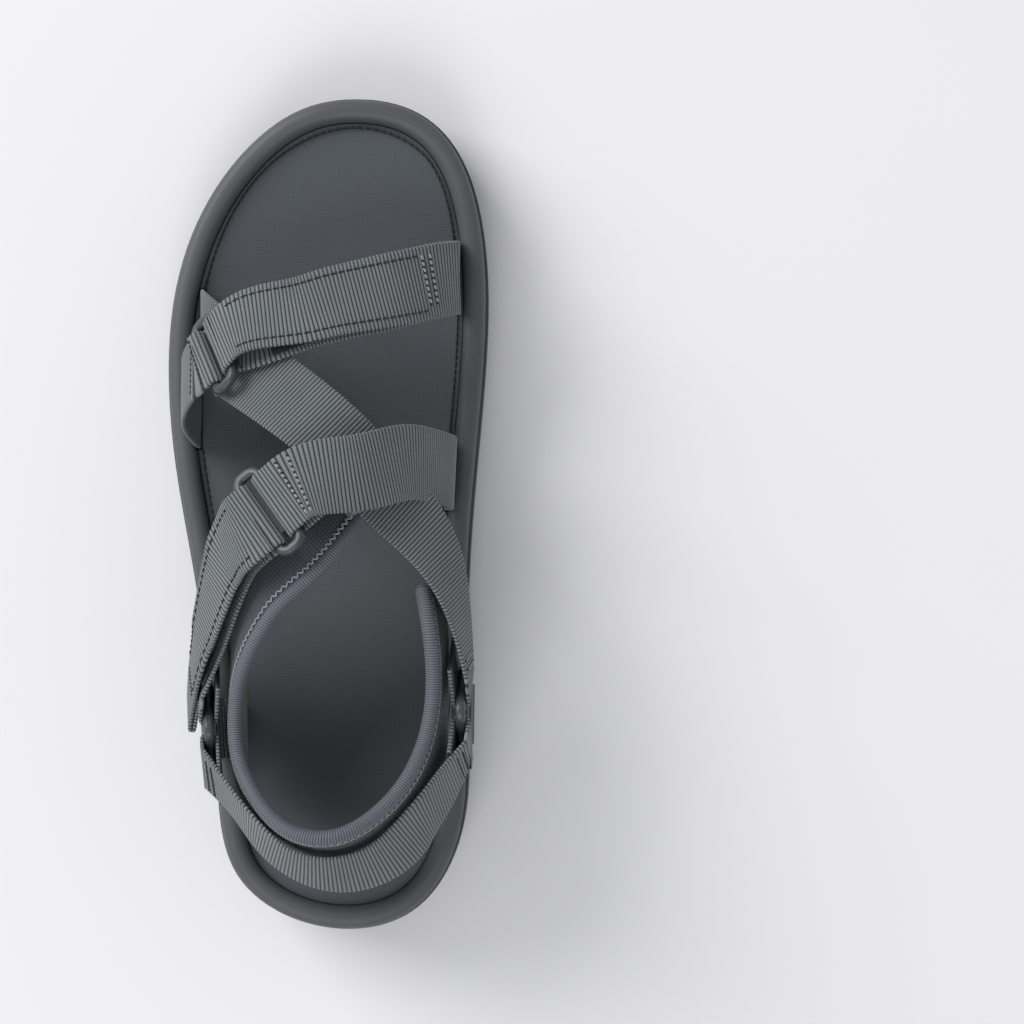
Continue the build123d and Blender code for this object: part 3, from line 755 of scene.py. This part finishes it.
def acetal_moulded(name, shade):
    """Moulded acetal: a waxy semi-gloss with the finest mould texture and high spots that rubbing has left
    paler.
    """
    material, tree, shader = start_material(name, specular_ior_level=0.5, ior=1.48, coat_weight=0.05)
    place = add_node(tree, "ShaderNodeTexCoord", output="Object")
    grain = add_node(tree, NOISE, {"Vector": place, "Scale": 2.5 / MM, **PLAIN})
    flow = add_node(tree, NOISE, {"Vector": place, "Scale": 0.12 / MM, **PLAIN})
    base = clouded(tree, flow, 0.3, 0.7, shade, 0.88, 1.12)
    roughness = add_node(tree, RANGE, {0: grain, 1: 0.3, 2: 0.7, 3: 0.3, 4: 0.42})
    finish_material(tree, shader, base, roughness, grain, 0.02)
    return material


def paper_floor_matt(name, shade):
    """Seamless studio paper: pale and matt, with the faintest mottling."""
    material, tree, shader = start_material(name, specular_ior_level=0.1)
    place = add_node(tree, "ShaderNodeTexCoord", output="Object")
    fibre = add_node(tree, NOISE, {"Vector": place, "Scale": 0.01 / MM, **MEDIUM})
    base = clouded(tree, fibre, 0, 1, shade, 0.985, 1)
    roughness = add_node(tree, RANGE, {0: fibre, 3: 0.9, 4: 1.0})
    finish_material(tree, shader, base, roughness, fibre, 0.01)
    return material


def finish_for(kind):
    """The material of a kind, made from the scene's colours the first time it is asked for."""
    made = bpy.data.materials.get(kind)
    if made:
        return made
    sizes = bpy.context.scene.sandal_sizes
    colours = bpy.context.scene.sandal_colours
    makers = {
        "polyester_webbing_woven": lambda n: polyester_webbing_woven(
            n, colours.webbing, colours.webbing_groove_shade, sizes.rib_pitch
        ),
        "polyester_thread_spun": lambda n: polyester_thread_spun(n, colours.thread),
        "polyester_thread_spun_dark": lambda n: polyester_thread_spun(n, colours.dark_thread_and_seam_shade),
        "elastic_tape_ribbed": lambda n: elastic_tape_ribbed(n, colours.binding, sizes.binding_pitch),
        "polyester_knit_laminated": lambda n: polyester_knit_laminated(n, colours.knit),
        "polyester_felt_brushed": lambda n: polyester_felt_brushed(n, colours.lining),
        "nylon_loop_tape_brushed": lambda n: nylon_tape_pile(n, colours.loop),
        "nylon_hook_tape_woven": lambda n: nylon_tape_pile(n, colours.hook),
        "eva_foam_moulded": lambda n: eva_foam_moulded(n, colours.midsole),
        "eva_foam_embossed": lambda n: eva_foam_embossed(n, colours.footbed),
        "rubber_moulded": lambda n: rubber_moulded(n, colours.tread),
        "acetal_moulded": lambda n: acetal_moulded(n, colours.ring),
        "paper_floor_matt": lambda n: paper_floor_matt(n, colours.floor),
    }
    return makers[kind](kind)


# ---- meshes ----
def make_object(name, points_mm, faces, kinds, weave=None, face_kinds=None):
    """A smooth-shaded object from points in millimetres, with its weave coordinates."""
    mesh = bpy.data.meshes.new(name)
    mesh.from_pydata((np.asarray(points_mm) * MM).tolist(), [], faces)
    for kind in kinds if isinstance(kinds, (list, tuple)) else [kinds]:
        mesh.materials.append(finish_for(kind))
    mesh.polygons.foreach_set("use_smooth", [True] * len(mesh.polygons))
    if face_kinds is not None:
        mesh.polygons.foreach_set("material_index", face_kinds)
    if weave is not None:
        layer = mesh.attributes.new("weave", "FLOAT_VECTOR", "POINT")
        layer.data.foreach_set("vector", (np.asarray(weave, np.float32) * MM).ravel())
    mesh.update()
    made = bpy.data.objects.new(name, mesh)
    bpy.context.scene.collection.objects.link(made)
    return made


def grid_faces(rows, columns, capped=True):
    """Quads of a tube of rows of columns, closed round and capped at both ends."""
    row = np.arange(rows - 1)[:, None] * columns
    column = np.arange(columns)[None, :]
    after = (column + 1) % columns
    quads = np.stack([row + column, row + after, row + after + columns, row + column + columns], axis=-1)
    faces = quads.reshape(-1, 4).tolist()
    if capped:
        faces.append(list(range(columns))[::-1])
        faces.append([(rows - 1) * columns + k for k in range(columns)])
    return faces


def strap_section(width, thick, columns):
    """A webbing section, round at its edges: across, height and how much of the edge each point is."""
    half = width / 2
    bend = thick / 2
    turns = np.linspace(-90, 90, 7)[1:-1]
    flat = np.linspace(-(half - bend), half - bend, columns)
    edge_x = half - bend + bend * np.cos(np.radians(turns))
    edge_z = bend * np.sin(np.radians(turns))
    across = np.concatenate([flat, edge_x, flat[::-1], -edge_x[::-1]])
    height = np.concatenate([np.full(columns, -bend), edge_z, np.full(columns, bend), edge_z[::-1]])
    edge = np.concatenate([np.zeros(columns), np.ones(len(turns)), np.zeros(columns), np.ones(len(turns))])
    return across, height, edge


def webbing(name, path, width=WEB_WIDTH, thick=WEB_THICK, columns=14, ribbed=True):
    """A strap of webbing along a path, with a real ridge for each rib and looped edges."""
    sizes = bpy.context.scene.sandal_sizes
    pitch = sizes.rib_pitch / MM
    depth = sizes.rib_depth / MM
    rows = max(8, int((path.end - path.start) / pitch * RIB_ROWS))
    lengths = np.linspace(path.start, path.end, rows)
    points, normals, across_way = path.sample(lengths)
    across, height, edge = strap_section(width, thick, columns)
    ridge = np.abs(np.sin(np.pi * lengths / pitch)) ** 0.6
    groove = (1 - ridge)[:, None] if ribbed else np.zeros((rows, 1))
    wander = 0.12 * np.sin(lengths / 7.3 + width)[:, None] * (across / width)[None, :] ** 2
    z = height[None, :] - np.sign(height)[None, :] * groove * depth + wander
    x = across[None, :] - np.sign(across)[None, :] * edge[None, :] * groove * 0.3
    places = points[:, None] + across_way[:, None] * x[..., None] + normals[:, None] * z[..., None]
    weave = np.zeros_like(places)
    weave[..., 0] = across[None, :]
    weave[..., 1] = lengths[:, None]
    weave[..., 2] = np.sign(height)[None, :]
    faces = grid_faces(rows, len(across))
    return make_object(name, places.reshape(-1, 3), faces, "polyester_webbing_woven", weave.reshape(-1, 3))


def tubes(name, runs, ups, radius, sides, kind):
    """Many short closed tubes in one mesh: each run is a row of points, with an up direction."""
    runs = np.asarray(runs, float)
    ups = np.asarray(ups, float)
    count, rows, _ = runs.shape
    tangents = unit(np.gradient(runs, axis=1))
    side = unit(np.cross(tangents, ups[:, None]))
    lift = np.cross(side, tangents)
    turn = np.arange(sides) / sides * 2 * math.pi
    ring = np.cos(turn)[:, None] * side[:, :, None] + np.sin(turn)[:, None] * lift[:, :, None]
    places = runs[:, :, None] + ring * radius
    one = grid_faces(rows, sides)
    faces = []
    for index in range(count):
        first = index * rows * sides
        faces += [[first + k for k in face] for face in one]
    weave = np.zeros_like(places)
    weave[..., 0] = (turn * radius)[None, None, :]
    weave[..., 1] = (np.arange(rows) * 0.5)[None, :, None]
    return make_object(name, places.reshape(-1, 3), faces, kind, weave.reshape(-1, 3))


def stitch_run(path, start, end, height):
    """Points of one stitch between two (length, across) places on a strap's face."""
    share = np.linspace(0, 1, 6)
    lengths = start[0] + (end[0] - start[0]) * share
    across = start[1] + (end[1] - start[1]) * share
    points, normals, ways = path.sample(lengths)
    rise = height + math.copysign(1, height) * (0.5 * np.sin(np.pi * share) - 0.3)
    return points + ways * across[:, None] + normals * rise[:, None], normals[3]


def seam(path, across, start, end, height):
    """Stitches in a line along a strap."""
    sizes = bpy.context.scene.sandal_sizes
    pitch = sizes.stitch / MM
    count = int((end - start) / pitch)
    return [
        stitch_run(path, (start + k * pitch, across), (start + (k + 0.8) * pitch, across), height)
        for k in range(count)
    ]


def edge_seams(path, reach, start, end, height):
    """Seams along both edges of a strap."""
    return seam(path, -reach, start, end, height) + seam(path, reach, start, end, height)


def cross_seam(path, place, reach, height, first=0.0, last=0.7):
    """Close stitches in a line across a strap, each over a share of its pitch."""
    stitches = []
    for k in range(int(2 * reach / TACK_PITCH)):
        start = (place, -reach + (k + first) * TACK_PITCH)
        end = (place + 0.2, -reach + (k + last) * TACK_PITCH)
        stitches.append(stitch_run(path, start, end, height))
    return stitches


def bar_tacks(name, path, places, reach, height):
    """Lines of heavy stitches across a strap, with short dark stitches between them that paint the shade in
    the needle holes.
    """
    bars, hole_shades = [], []
    for place_at in places:
        bars += cross_seam(path, place_at, reach, height)
        # painted shade: dark thread tubes sunk between the stitches stand for the shadowed needle holes
        hole_shades += cross_seam(path, place_at, reach, height * 0.85, 0.72, 0.98)
    threads = sew(name, bars, "polyester_thread_spun", HEAVY_THREAD)
    return threads, sew(name + "_holes", hole_shades, "polyester_thread_spun_dark", HEAVY_THREAD * 1.15)


# By default stitches take the dark thread, which also paints the shade of the groove that a seam pulls into
# the strap.
def sew(name, stitches, kind="polyester_thread_spun_dark", heavy=0.5):
    """One object from stitches, whose radius is a share of the thread's size."""
    radius = bpy.context.scene.sandal_sizes.thread / MM * heavy
    return tubes(name, [run for run, _ in stitches], [up for _, up in stitches], radius, 6, kind)


def refinish(piece, kind):
    """Gives a piece one material in place of what it has."""
    piece.data.materials.clear()
    piece.data.materials.append(finish_for(kind))


def tape(name, path, kind, outward, bristles):
    """A closure tape: its woven ground, and its loops or hooks standing from one face."""
    ground = webbing(name, path, TAPE_WIDTH, TAPE_THICK * 0.6, 10, ribbed=False)
    refinish(ground, kind)
    runs, ups = bristles(path, outward)
    pile = tubes(name + "_pile", runs, ups, BRISTLE_RADIUS, 3, kind)
    return ground, pile


def loop_bristles(path, outward):
    """Small loops of brushed filament, thrown every way over the tape."""
    random = np.random.default_rng(11)
    area = (path.end - path.start) * TAPE_WIDTH
    count = int(area * LOOPS_PER_MM2)
    lengths = random.uniform(path.start + 0.5, path.end - 0.5, count)
    across = random.uniform(-TAPE_WIDTH / 2, TAPE_WIDTH / 2, count)
    points, normals, ways = path.sample(lengths)
    forward = np.cross(normals, ways)
    turn = random.uniform(0, math.pi, count)[:, None]
    way = np.cos(turn) * ways + np.sin(turn) * forward
    reach = random.uniform(0.25, 0.55, count)[:, None, None]
    tall = random.uniform(0.3, 0.6, count)[:, None, None]
    share = np.linspace(0, math.pi, 5)
    centre = points + ways * across[:, None] + normals * outward * TAPE_THICK * 0.3
    runs = centre[:, None] + way[:, None] * np.cos(share)[None, :, None] * reach
    runs = runs + (normals * outward)[:, None] * np.sin(share)[None, :, None] * tall
    return runs, np.cross(way, normals)


def hook_bristles(path, outward):
    """Rows of small moulded hooks."""
    lengths, across = np.meshgrid(
        np.arange(path.start + 1, path.end - 1, HOOK_PITCH),
        np.arange(-TAPE_WIDTH / 2 + 1, TAPE_WIDTH / 2 - 0.9, HOOK_PITCH),
    )
    points, normals, ways = path.sample(lengths.ravel())
    forward = np.cross(normals, ways)
    centre = points + ways * across.ravel()[:, None]
    rise = np.array([0.2, 0.7, 1.0, 1.05, 0.8])[None, :, None]
    lean = np.array([0.0, 0.0, 0.12, 0.4, 0.5])[None, :, None]
    runs = centre[:, None] + (normals * outward)[:, None] * rise + forward[:, None] * lean
    return runs, ways


def tab_end(path):
    """A strap path whose end is turned under itself and sewn down."""
    points, normals, across = path.sample(np.array([path.end]))
    tangent = np.cross(normals, across)[0]
    turns = np.radians(np.linspace(0, 180, 13))
    centre = points[0] - normals[0] * TAB_RADIUS
    facing = np.outer(np.cos(turns), normals[0]) + np.outer(np.sin(turns), tangent)
    turned = Path(centre + facing * TAB_RADIUS, facing, np.tile(across[0], (len(turns), 1)))
    back = path.cut(path.end - TAB_RETURN, path.end)
    under = Path(back.points - back.normals * 2 * TAB_RADIUS, back.normals, back.across)
    under = Path(under.points[::-1], -under.normals[::-1], under.across[::-1])
    return joined(path, turned, under)


def place(body, slot, *pieces):
    """Rides pieces on a body; the record slot that they would take their finish from is not used."""
    for piece in pieces:
        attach(piece, body)


# ---- operators ----
class SANDAL_OT_sole(bpy.types.Operator):
    """Finish the outsole, midsole and footbed, and sew the footbed's edge"""

    bl_idname = "sandal.sole"
    bl_label = "Sole"

    def execute(self, context):
        for node, kind in (
            ("outsole", "rubber_moulded"),
            ("midsole", "eva_foam_moulded"),
            ("footbed", "eva_foam_embossed"),
        ):
            refinish(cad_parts[node], kind)
        outline = Spline([(*p, 0) for p in OUTLINE], closed=True).at(np.linspace(0, 1, 900))
        along = unit(np.gradient(outline, axis=0))
        inward = np.stack([along[:, 1], -along[:, 0], np.zeros(len(along))], axis=-1)
        line = outline + inward * (RIM_WIDTH + 1.9)
        line[:, 2] = [crest(y) - CUP_DEPTH for y in line[:, 1]]
        edge = Path(line, np.tile([0, 0, 1.0], (len(line), 1)))
        stitches = sew("footbed_edge_stitching", seam(edge, 0, edge.start, edge.end, 0.0))
        place(BODY, "eva_footbed", stitches)
        return {"FINISHED"}


class SANDAL_OT_rings(bpy.types.Operator):
    """Finish the four moulded rings"""

    bl_idname = "sandal.rings"
    bl_label = "Rings"

    def execute(self, context):
        for node in ("forefoot_ring", "instep_ring", "medial_rear_ring", "lateral_rear_ring"):
            refinish(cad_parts[node], "acetal_moulded")
        return {"FINISHED"}


def closure(name, body, bar, base_route, flap_route, loop_span, hook_span, far_end):
    """A strap folded round its ring bar, its flap, and the tapes between them; gives the loop tape's path."""
    fold = bar.fold(-1, EYE_LEG, HINGE_LEG)
    run = course(base_route)
    if far_end is not None:
        run = run.reversed()
        run = joined(far_end, run)
    whole = joined(run, fold, tab_end(course(flap_route)))
    cut_at = run.end + fold.end
    strap = webbing(name + "_strap_webbing", whole.cut(whole.start, cut_at))
    flap = webbing(name + "_flap_webbing", whole.cut(cut_at, whole.end))
    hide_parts(name + "_strap")
    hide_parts(name + "_flap")
    place(BODY, "webbing", strap)
    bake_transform(flap)
    loop_path = course(base_route, LOOP_LIFT, *loop_span)
    loops = tape(name + "_loop_tape_ground", loop_path, "nylon_loop_tape_brushed", 1, loop_bristles)
    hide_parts(name + "_loop_tape")
    place(BODY, "loop_tape", *loops)
    hook_path = course(flap_route, HOOK_LIFT - FLAP_LIFT, *hook_span)
    hooks = tape(name + "_hook_tape_ground", hook_path, "nylon_hook_tape_woven", -1, hook_bristles)
    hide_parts(name + "_hook_tape")
    place(body, "hook_tape", *hooks)
    return loop_path


def hem_tape(name, path):
    """Sews a loop tape down along both of its edges."""
    hems = edge_seams(path, TAPE_SEAM_REACH, path.start + 1, path.end - 1, TAPE_THICK / 2)
    place(BODY, "loop_tape", sew(name, hems))


class SANDAL_OT_forefoot(bpy.types.Operator):
    """Weave the forefoot strap, its flap with hook and loop tapes, and the ring's anchor"""

    bl_idname = "sandal.forefoot"
    bl_label = "Forefoot strap"

    def execute(self, context):
        loops = closure(
            "forefoot", "forefoot_closure", FOREFOOT_BAR, FOREFOOT_ROUTE, FOREFOOT_FLAP_ROUTE,
            (0.36, 0.9), (0.16, 0.78), None,
        )
        flap = course(FOREFOOT_FLAP_ROUTE)
        top = WEB_THICK / 2
        edges = edge_seams(flap, FLAP_SEAM_REACH, flap.start + 7, flap.end - 16, top)
        place("forefoot_closure", "webbing", sew("forefoot_flap_edge_stitching", edges))
        tacks = bar_tacks("forefoot_flap_tab_stitching", flap, (flap.end - 12.5, flap.end - 15.6), 9.2, top)
        place("forefoot_closure", "webbing", *tacks)
        hem_tape("forefoot_loop_tape_stitching", loops)
        anchor_path = joined(course(ANCHOR_ROUTE), ANCHOR_BAR.fold(1, EYE_LEG, EYE_LEG))
        anchor = webbing("forefoot_ring_anchor_webbing", anchor_path)
        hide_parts("forefoot_ring_anchor")
        place(BODY, "webbing", anchor)
        fold_at = anchor_path.end - 2 * EYE_LEG - math.pi * FOLD_RADIUS
        bars = cross_seam(anchor_path, fold_at + 1.5, 10.5, top)
        bars += cross_seam(anchor_path, fold_at - 1, 10.5, top)
        place(BODY, "webbing", sew("forefoot_ring_anchor_stitching", bars))
        return {"FINISHED"}


class SANDAL_OT_cross_strap(bpy.types.Operator):
    """Weave the strap that crosses under the others from the lateral forefoot to the medial ring"""

    bl_idname = "sandal.cross_strap"
    bl_label = "Cross strap"

    def execute(self, context):
        path = joined(course(CROSS_ROUTE), MEDIAL_FRONT.fold(1, EYE_LEG, RETURN_LEG))
        strap = webbing("cross_strap_webbing", path)
        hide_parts("cross_strap")
        place(BODY, "webbing", strap)
        fold = path.end - 2 * RETURN_LEG - math.pi * FOLD_RADIUS
        top = WEB_THICK / 2
        place(BODY, "webbing", *bar_tacks("cross_strap_stitching", path, (fold + 2, fold + 5), 10.0, top))
        return {"FINISHED"}


class SANDAL_OT_instep_strap(bpy.types.Operator):
    """Weave the instep strap and its doubled end round the instep ring"""

    bl_idname = "sandal.instep_strap"
    bl_label = "Instep strap"

    def execute(self, context):
        path = joined(course(INSTEP_ROUTE), INSTEP_BAR.fold(1, EYE_LEG, RETURN_LEG))
        strap = webbing("instep_strap_webbing", path)
        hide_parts("instep_strap")
        place(BODY, "webbing", strap)
        top = WEB_THICK / 2
        fold_at = path.end - RETURN_LEG - math.pi * FOLD_RADIUS
        tacks = bar_tacks("instep_strap_stitching", path, (fold_at - 7.0, fold_at - 10.0), 10.5, top)
        place(BODY, "webbing", *tacks)
        return {"FINISHED"}


class SANDAL_OT_ankle(bpy.types.Operator):
    """Weave the ankle strap between its two rings, and its flap with hook and loop tapes"""

    bl_idname = "sandal.ankle"
    bl_label = "Ankle strap"

    def execute(self, context):
        far_fold = LATERAL_FRONT.fold(1, EYE_LEG, RETURN_LEG).reversed()
        loops = closure(
            "ankle", "ankle_closure", ANKLE_BAR, ANKLE_ROUTE, ANKLE_FLAP_ROUTE,
            (0.1, 0.93), (0.2, 0.62), far_fold,
        )
        flap = course(ANKLE_FLAP_ROUTE)
        edges = edge_seams(flap, FLAP_SEAM_REACH, flap.start + 7, flap.end - 14, WEB_THICK / 2)
        edges += cross_seam(flap, flap.end - 12.5, 9.0, WEB_THICK / 2)
        place("ankle_closure", "webbing", sew("ankle_flap_stitching", edges))
        hem_tape("ankle_loop_tape_stitching", loops)
        return {"FINISHED"}


class SANDAL_OT_heel(bpy.types.Operator):
    """Weave the heel strap and the two anchors that tie the rear rings to the sole"""

    bl_idname = "sandal.heel"
    bl_label = "Heel strap and rear anchors"

    def execute(self, context):
        start = MEDIAL_REAR.fold(1, EYE_LEG, RETURN_LEG).reversed()
        run = course(HEEL_ROUTE)
        path = joined(start, run, LATERAL_REAR.fold(1, EYE_LEG, RETURN_LEG))
        strap = webbing("heel_strap_webbing", path)
        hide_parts("heel_strap")
        place(BODY, "webbing", strap)
        bars = []
        for place_at in (run.start + 3, run.start + 6, run.end - 6, run.end - 3):
            bars += cross_seam(run, place_at, 10.0, WEB_THICK / 2)
        place(BODY, "webbing", sew("heel_strap_stitching", bars))
        for node, route, bar in (
            ("medial_rear_anchor", MEDIAL_ANCHOR_ROUTE, MEDIAL_FOOT),
            ("lateral_rear_anchor", LATERAL_ANCHOR_ROUTE, LATERAL_FOOT),
        ):
            path = joined(course(route), bar.fold(1, EYE_LEG, EYE_LEG))
            anchor = webbing(node + "_webbing", path, ANCHOR_WIDTH)
            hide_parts(node)
            place(BODY, "webbing", anchor)
        return {"FINISHED"}


def swell(pad, pinned, most):
    """Blows the pad up a little as sewn cloth over foam, between its pinned seams."""
    group = pad.vertex_groups.new(name="seams")
    group.add(pinned, 1.0, "REPLACE")
    rest = np.array([v.co for v in pad.data.vertices])
    cloth = pad.modifiers.new("cloth", "CLOTH")
    cloth.settings.quality = 6
    cloth.settings.mass = 0.15
    cloth.settings.tension_stiffness = 12
    cloth.settings.compression_stiffness = 12
    cloth.settings.bending_stiffness = 0.4
    cloth.settings.use_pressure = True
    cloth.settings.uniform_pressure_force = 4
    cloth.settings.vertex_group_mass = "seams"
    cloth.settings.effector_weights.gravity = 0
    cloth.point_cache.frame_start = 1
    cloth.point_cache.frame_end = SWELL_FRAMES
    scene = bpy.context.scene
    for step in range(1, SWELL_FRAMES + 1):
        scene.frame_set(step)
    shown = pad.evaluated_get(bpy.context.evaluated_depsgraph_get())
    swollen = np.array([v.co for v in shown.data.vertices])
    pad.modifiers.remove(cloth)
    scene.frame_set(1)
    move = swollen - rest
    size = np.linalg.norm(move, axis=1, keepdims=True)
    move *= np.minimum(1, most / np.maximum(size, 1e-9))
    pad.data.vertices.foreach_set("co", (rest + move).ravel())
    pad.data.update()


class SANDAL_OT_collar(bpy.types.Operator):
    """Pad the collar, bind its upper edge and sew the binding down"""

    bl_idname = "sandal.collar"
    bl_label = "Collar"

    def execute(self, context):
        sizes = context.scene.sandal_sizes
        steps = 170
        edge, up, out, _, height = collar_frames(steps)
        ring = 26
        half = FOAM_THICK / 2 + LINING_THICK
        turn = np.linspace(0, 2 * math.pi, ring, endpoint=False)
        side = np.sign(np.sin(turn)) * np.abs(np.sin(turn)) ** 0.6 * half
        depth = (1 - np.sign(np.cos(turn)) * np.abs(np.cos(turn)) ** 0.75) / 2
        under = 1.2
        drop = under + depth[None, :] * (height[:, None] - under)
        thin = np.interp(np.arange(steps), [0, 8, steps - 9, steps - 1], [0.35, 1, 1, 0.35])
        places = edge[:, None] - up[:, None] * drop[..., None]
        places = places + out[:, None] * (side * thin[:, None])[..., None]
        lengths = np.concatenate([[0], np.cumsum(np.linalg.norm(np.diff(edge, axis=0), axis=1))])
        weave = np.zeros_like(places)
        weave[..., 0] = drop
        weave[..., 1] = lengths[:, None]
        faces = grid_faces(steps, ring)
        inner = [int(math.sin((k + 0.5) / ring * 2 * math.pi) <= 0) for k in range(ring)]
        pad = make_object(
            "collar_padding", places.reshape(-1, 3), faces,
            ["polyester_knit_laminated", "polyester_felt_brushed"],
            weave.reshape(-1, 3), inner * (steps - 1) + [0, 0],
        )
        seams = [0, ring // 2]
        pinned = [i * ring + k for i in range(steps) for k in seams]
        pinned += list(range(ring)) + list(range((steps - 1) * ring, steps * ring))
        swell(pad, pinned, sizes.swell)
        rounding = pad.modifiers.new("rounding", "SUBSURF")
        rounding.levels = 1
        rounding.render_levels = 1
        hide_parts("collar_foam", "collar_shell", "collar_lining")
        place(BODY, "knit_collar", pad)
        self.bind(sizes)
        return {"FINISHED"}

    def bind(self, sizes):
        """The ribbed elastic binding over the upper edge, and the zigzag that holds it."""
        pitch = sizes.binding_pitch / MM
        edge, up, out, _, _ = collar_frames(900)
        tail = Spline([BINDING_TAIL, edge[0], edge[40], edge[80]]).at(np.linspace(0, 1, 120))
        tail = tail[: int(np.argmin(np.linalg.norm(tail - edge[0], axis=1)))]
        count = len(tail)
        path = Path(
            np.vstack([tail, edge]),
            np.vstack([np.tile(up[0], (count, 1)), up]),
            np.vstack([np.tile(out[0], (count, 1)), out]),
        )
        rows = int(path.end / pitch * 6)
        lengths = np.linspace(0, path.end, rows)
        points, ups, outs = path.sample(lengths)
        turn = np.linspace(0, 2 * math.pi, 20, endpoint=False)
        ridge = np.abs(np.sin(np.pi * lengths / pitch)) ** 0.7
        ends = np.sqrt(np.clip(np.minimum(lengths, path.end - lengths) / BINDING_RADIUS, 0.02, 1))
        ends = ends * np.interp(lengths, [0, 16], [0.6, 1])
        radius = (BINDING_RADIUS - 0.3 * (1 - ridge)) * ends
        wide = np.cos(turn)[None, :] * radius[:, None] * 0.97
        tall = np.sin(turn)[None, :] * radius[:, None]
        places = points[:, None] + outs[:, None] * wide[..., None] + ups[:, None] * tall[..., None]
        weave = np.zeros_like(places)
        weave[..., 0] = turn * BINDING_RADIUS
        weave[..., 1] = lengths[:, None]
        binding = make_object(
            "collar_binding_tape", places.reshape(-1, 3), grid_faces(rows, 20),
            "elastic_tape_ribbed", weave.reshape(-1, 3),
        )
        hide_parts("collar_binding")
        place(BODY, "elastic_binding", binding)
        stitches = []
        for k in range(int((path.end - 8) / ZIGZAG_STEP)):
            start = 4 + k * ZIGZAG_STEP
            low, high = (3.2, 1.8) if k % 2 else (1.8, 3.2)
            share = np.linspace(0, 1, 5)
            at, rise, face = path.sample(start + share * ZIGZAG_STEP)
            drop = low + (high - low) * share
            stand = 2.35 - 0.3 * (1 - np.sin(np.pi * share))
            stitches.append((at - rise * drop[:, None] + face * stand[:, None], face[2]))
        zigzag = sew("collar_binding_stitching", stitches, "polyester_thread_spun")
        place(BODY, "elastic_binding", zigzag)


def area_light(name, place_at, target, size, power):
    """A soft square lamp that looks at a point."""
    lamp = bpy.data.lights.new(name, "AREA")
    lamp.shape = "SQUARE"
    lamp.size = size
    lamp.energy = power
    made = bpy.data.objects.new(name, lamp)
    made.location = place_at
    way = np.array(target) - np.array(place_at)
    made.rotation_euler = (
        math.atan2(math.hypot(way[0], way[1]), -way[2]), 0, math.atan2(way[1], way[0]) - math.pi / 2,
    )
    bpy.context.scene.collection.objects.link(made)


class SANDAL_OT_stage(bpy.types.Operator):
    """Lay the pale floor and set the soft lights and the overhead camera"""

    bl_idname = "sandal.stage"
    bl_label = "Studio"

    def execute(self, context):
        scene = context.scene
        corners = [(x * FLOOR_REACH, y * FLOOR_REACH, 0) for x, y in ((-1, -1), (1, -1), (1, 1), (-1, 1))]
        floor = make_object("studio_floor", corners, [[0, 1, 2, 3]], "paper_floor_matt")
        floor.location.z = -0.0002
        world = bpy.data.worlds.new("studio")
        scene.world = world
        world.use_nodes = True
        sky = world.node_tree.nodes["Background"]
        sky.inputs["Color"].default_value = (*linear("#f4f6fa"), 1)
        sky.inputs["Strength"].default_value = 0.5
        area_light("toe_softbox", (-2.4, 1.8, 2.0), (0, 0, 0), 2.2, 92)
        area_light("heel_fill", (-0.4, -1.9, 2.3), (0, 0, 0), 1.6, 26)
        scene.view_settings.view_transform = "Standard"
        camera = bpy.data.objects.new("camera", bpy.data.cameras.new("camera"))
        camera.location = CAMERA_PLACE
        camera.data.sensor_width = CAMERA_SENSOR
        camera.data.lens = CAMERA_LENS
        scene.collection.objects.link(camera)
        scene.camera = camera
        return {"FINISHED"}


STEPS = (
    SANDAL_OT_stage,
    SANDAL_OT_sole,
    SANDAL_OT_rings,
    SANDAL_OT_forefoot,
    SANDAL_OT_cross_strap,
    SANDAL_OT_instep_strap,
    SANDAL_OT_ankle,
    SANDAL_OT_heel,
    SANDAL_OT_collar,
)


class SANDAL_PT_pieces(bpy.types.Panel):
    """Sizes, colours and the pieces of the sandal in build order"""

    bl_label = "Sandal"
    bl_idname = "SANDAL_PT_pieces"
    bl_space_type = "VIEW_3D"
    bl_region_type = "UI"
    bl_category = "Sandal"

    def draw(self, context):
        for settings in (context.scene.sandal_sizes, context.scene.sandal_colours):
            box = self.layout.box()
            for name in settings.__annotations__:
                box.prop(settings, name)
        for step in STEPS:
            self.layout.operator(step.bl_idname)


CLASSES = (SandalSizes, SandalColours, *STEPS, SANDAL_PT_pieces)


def register():
    for made in CLASSES:
        bpy.utils.register_class(made)
    bpy.types.Scene.sandal_sizes = bpy.props.PointerProperty(type=SandalSizes)
    bpy.types.Scene.sandal_colours = bpy.props.PointerProperty(type=SandalColours)


def unregister():
    del bpy.types.Scene.sandal_colours
    del bpy.types.Scene.sandal_sizes
    for made in reversed(CLASSES):
        bpy.utils.unregister_class(made)


def main():
    register()
    for step in STEPS:
        group, name = step.bl_idname.split(".")
        getattr(getattr(bpy.ops, group), name)()


if __name__ == "__main__":
    main()
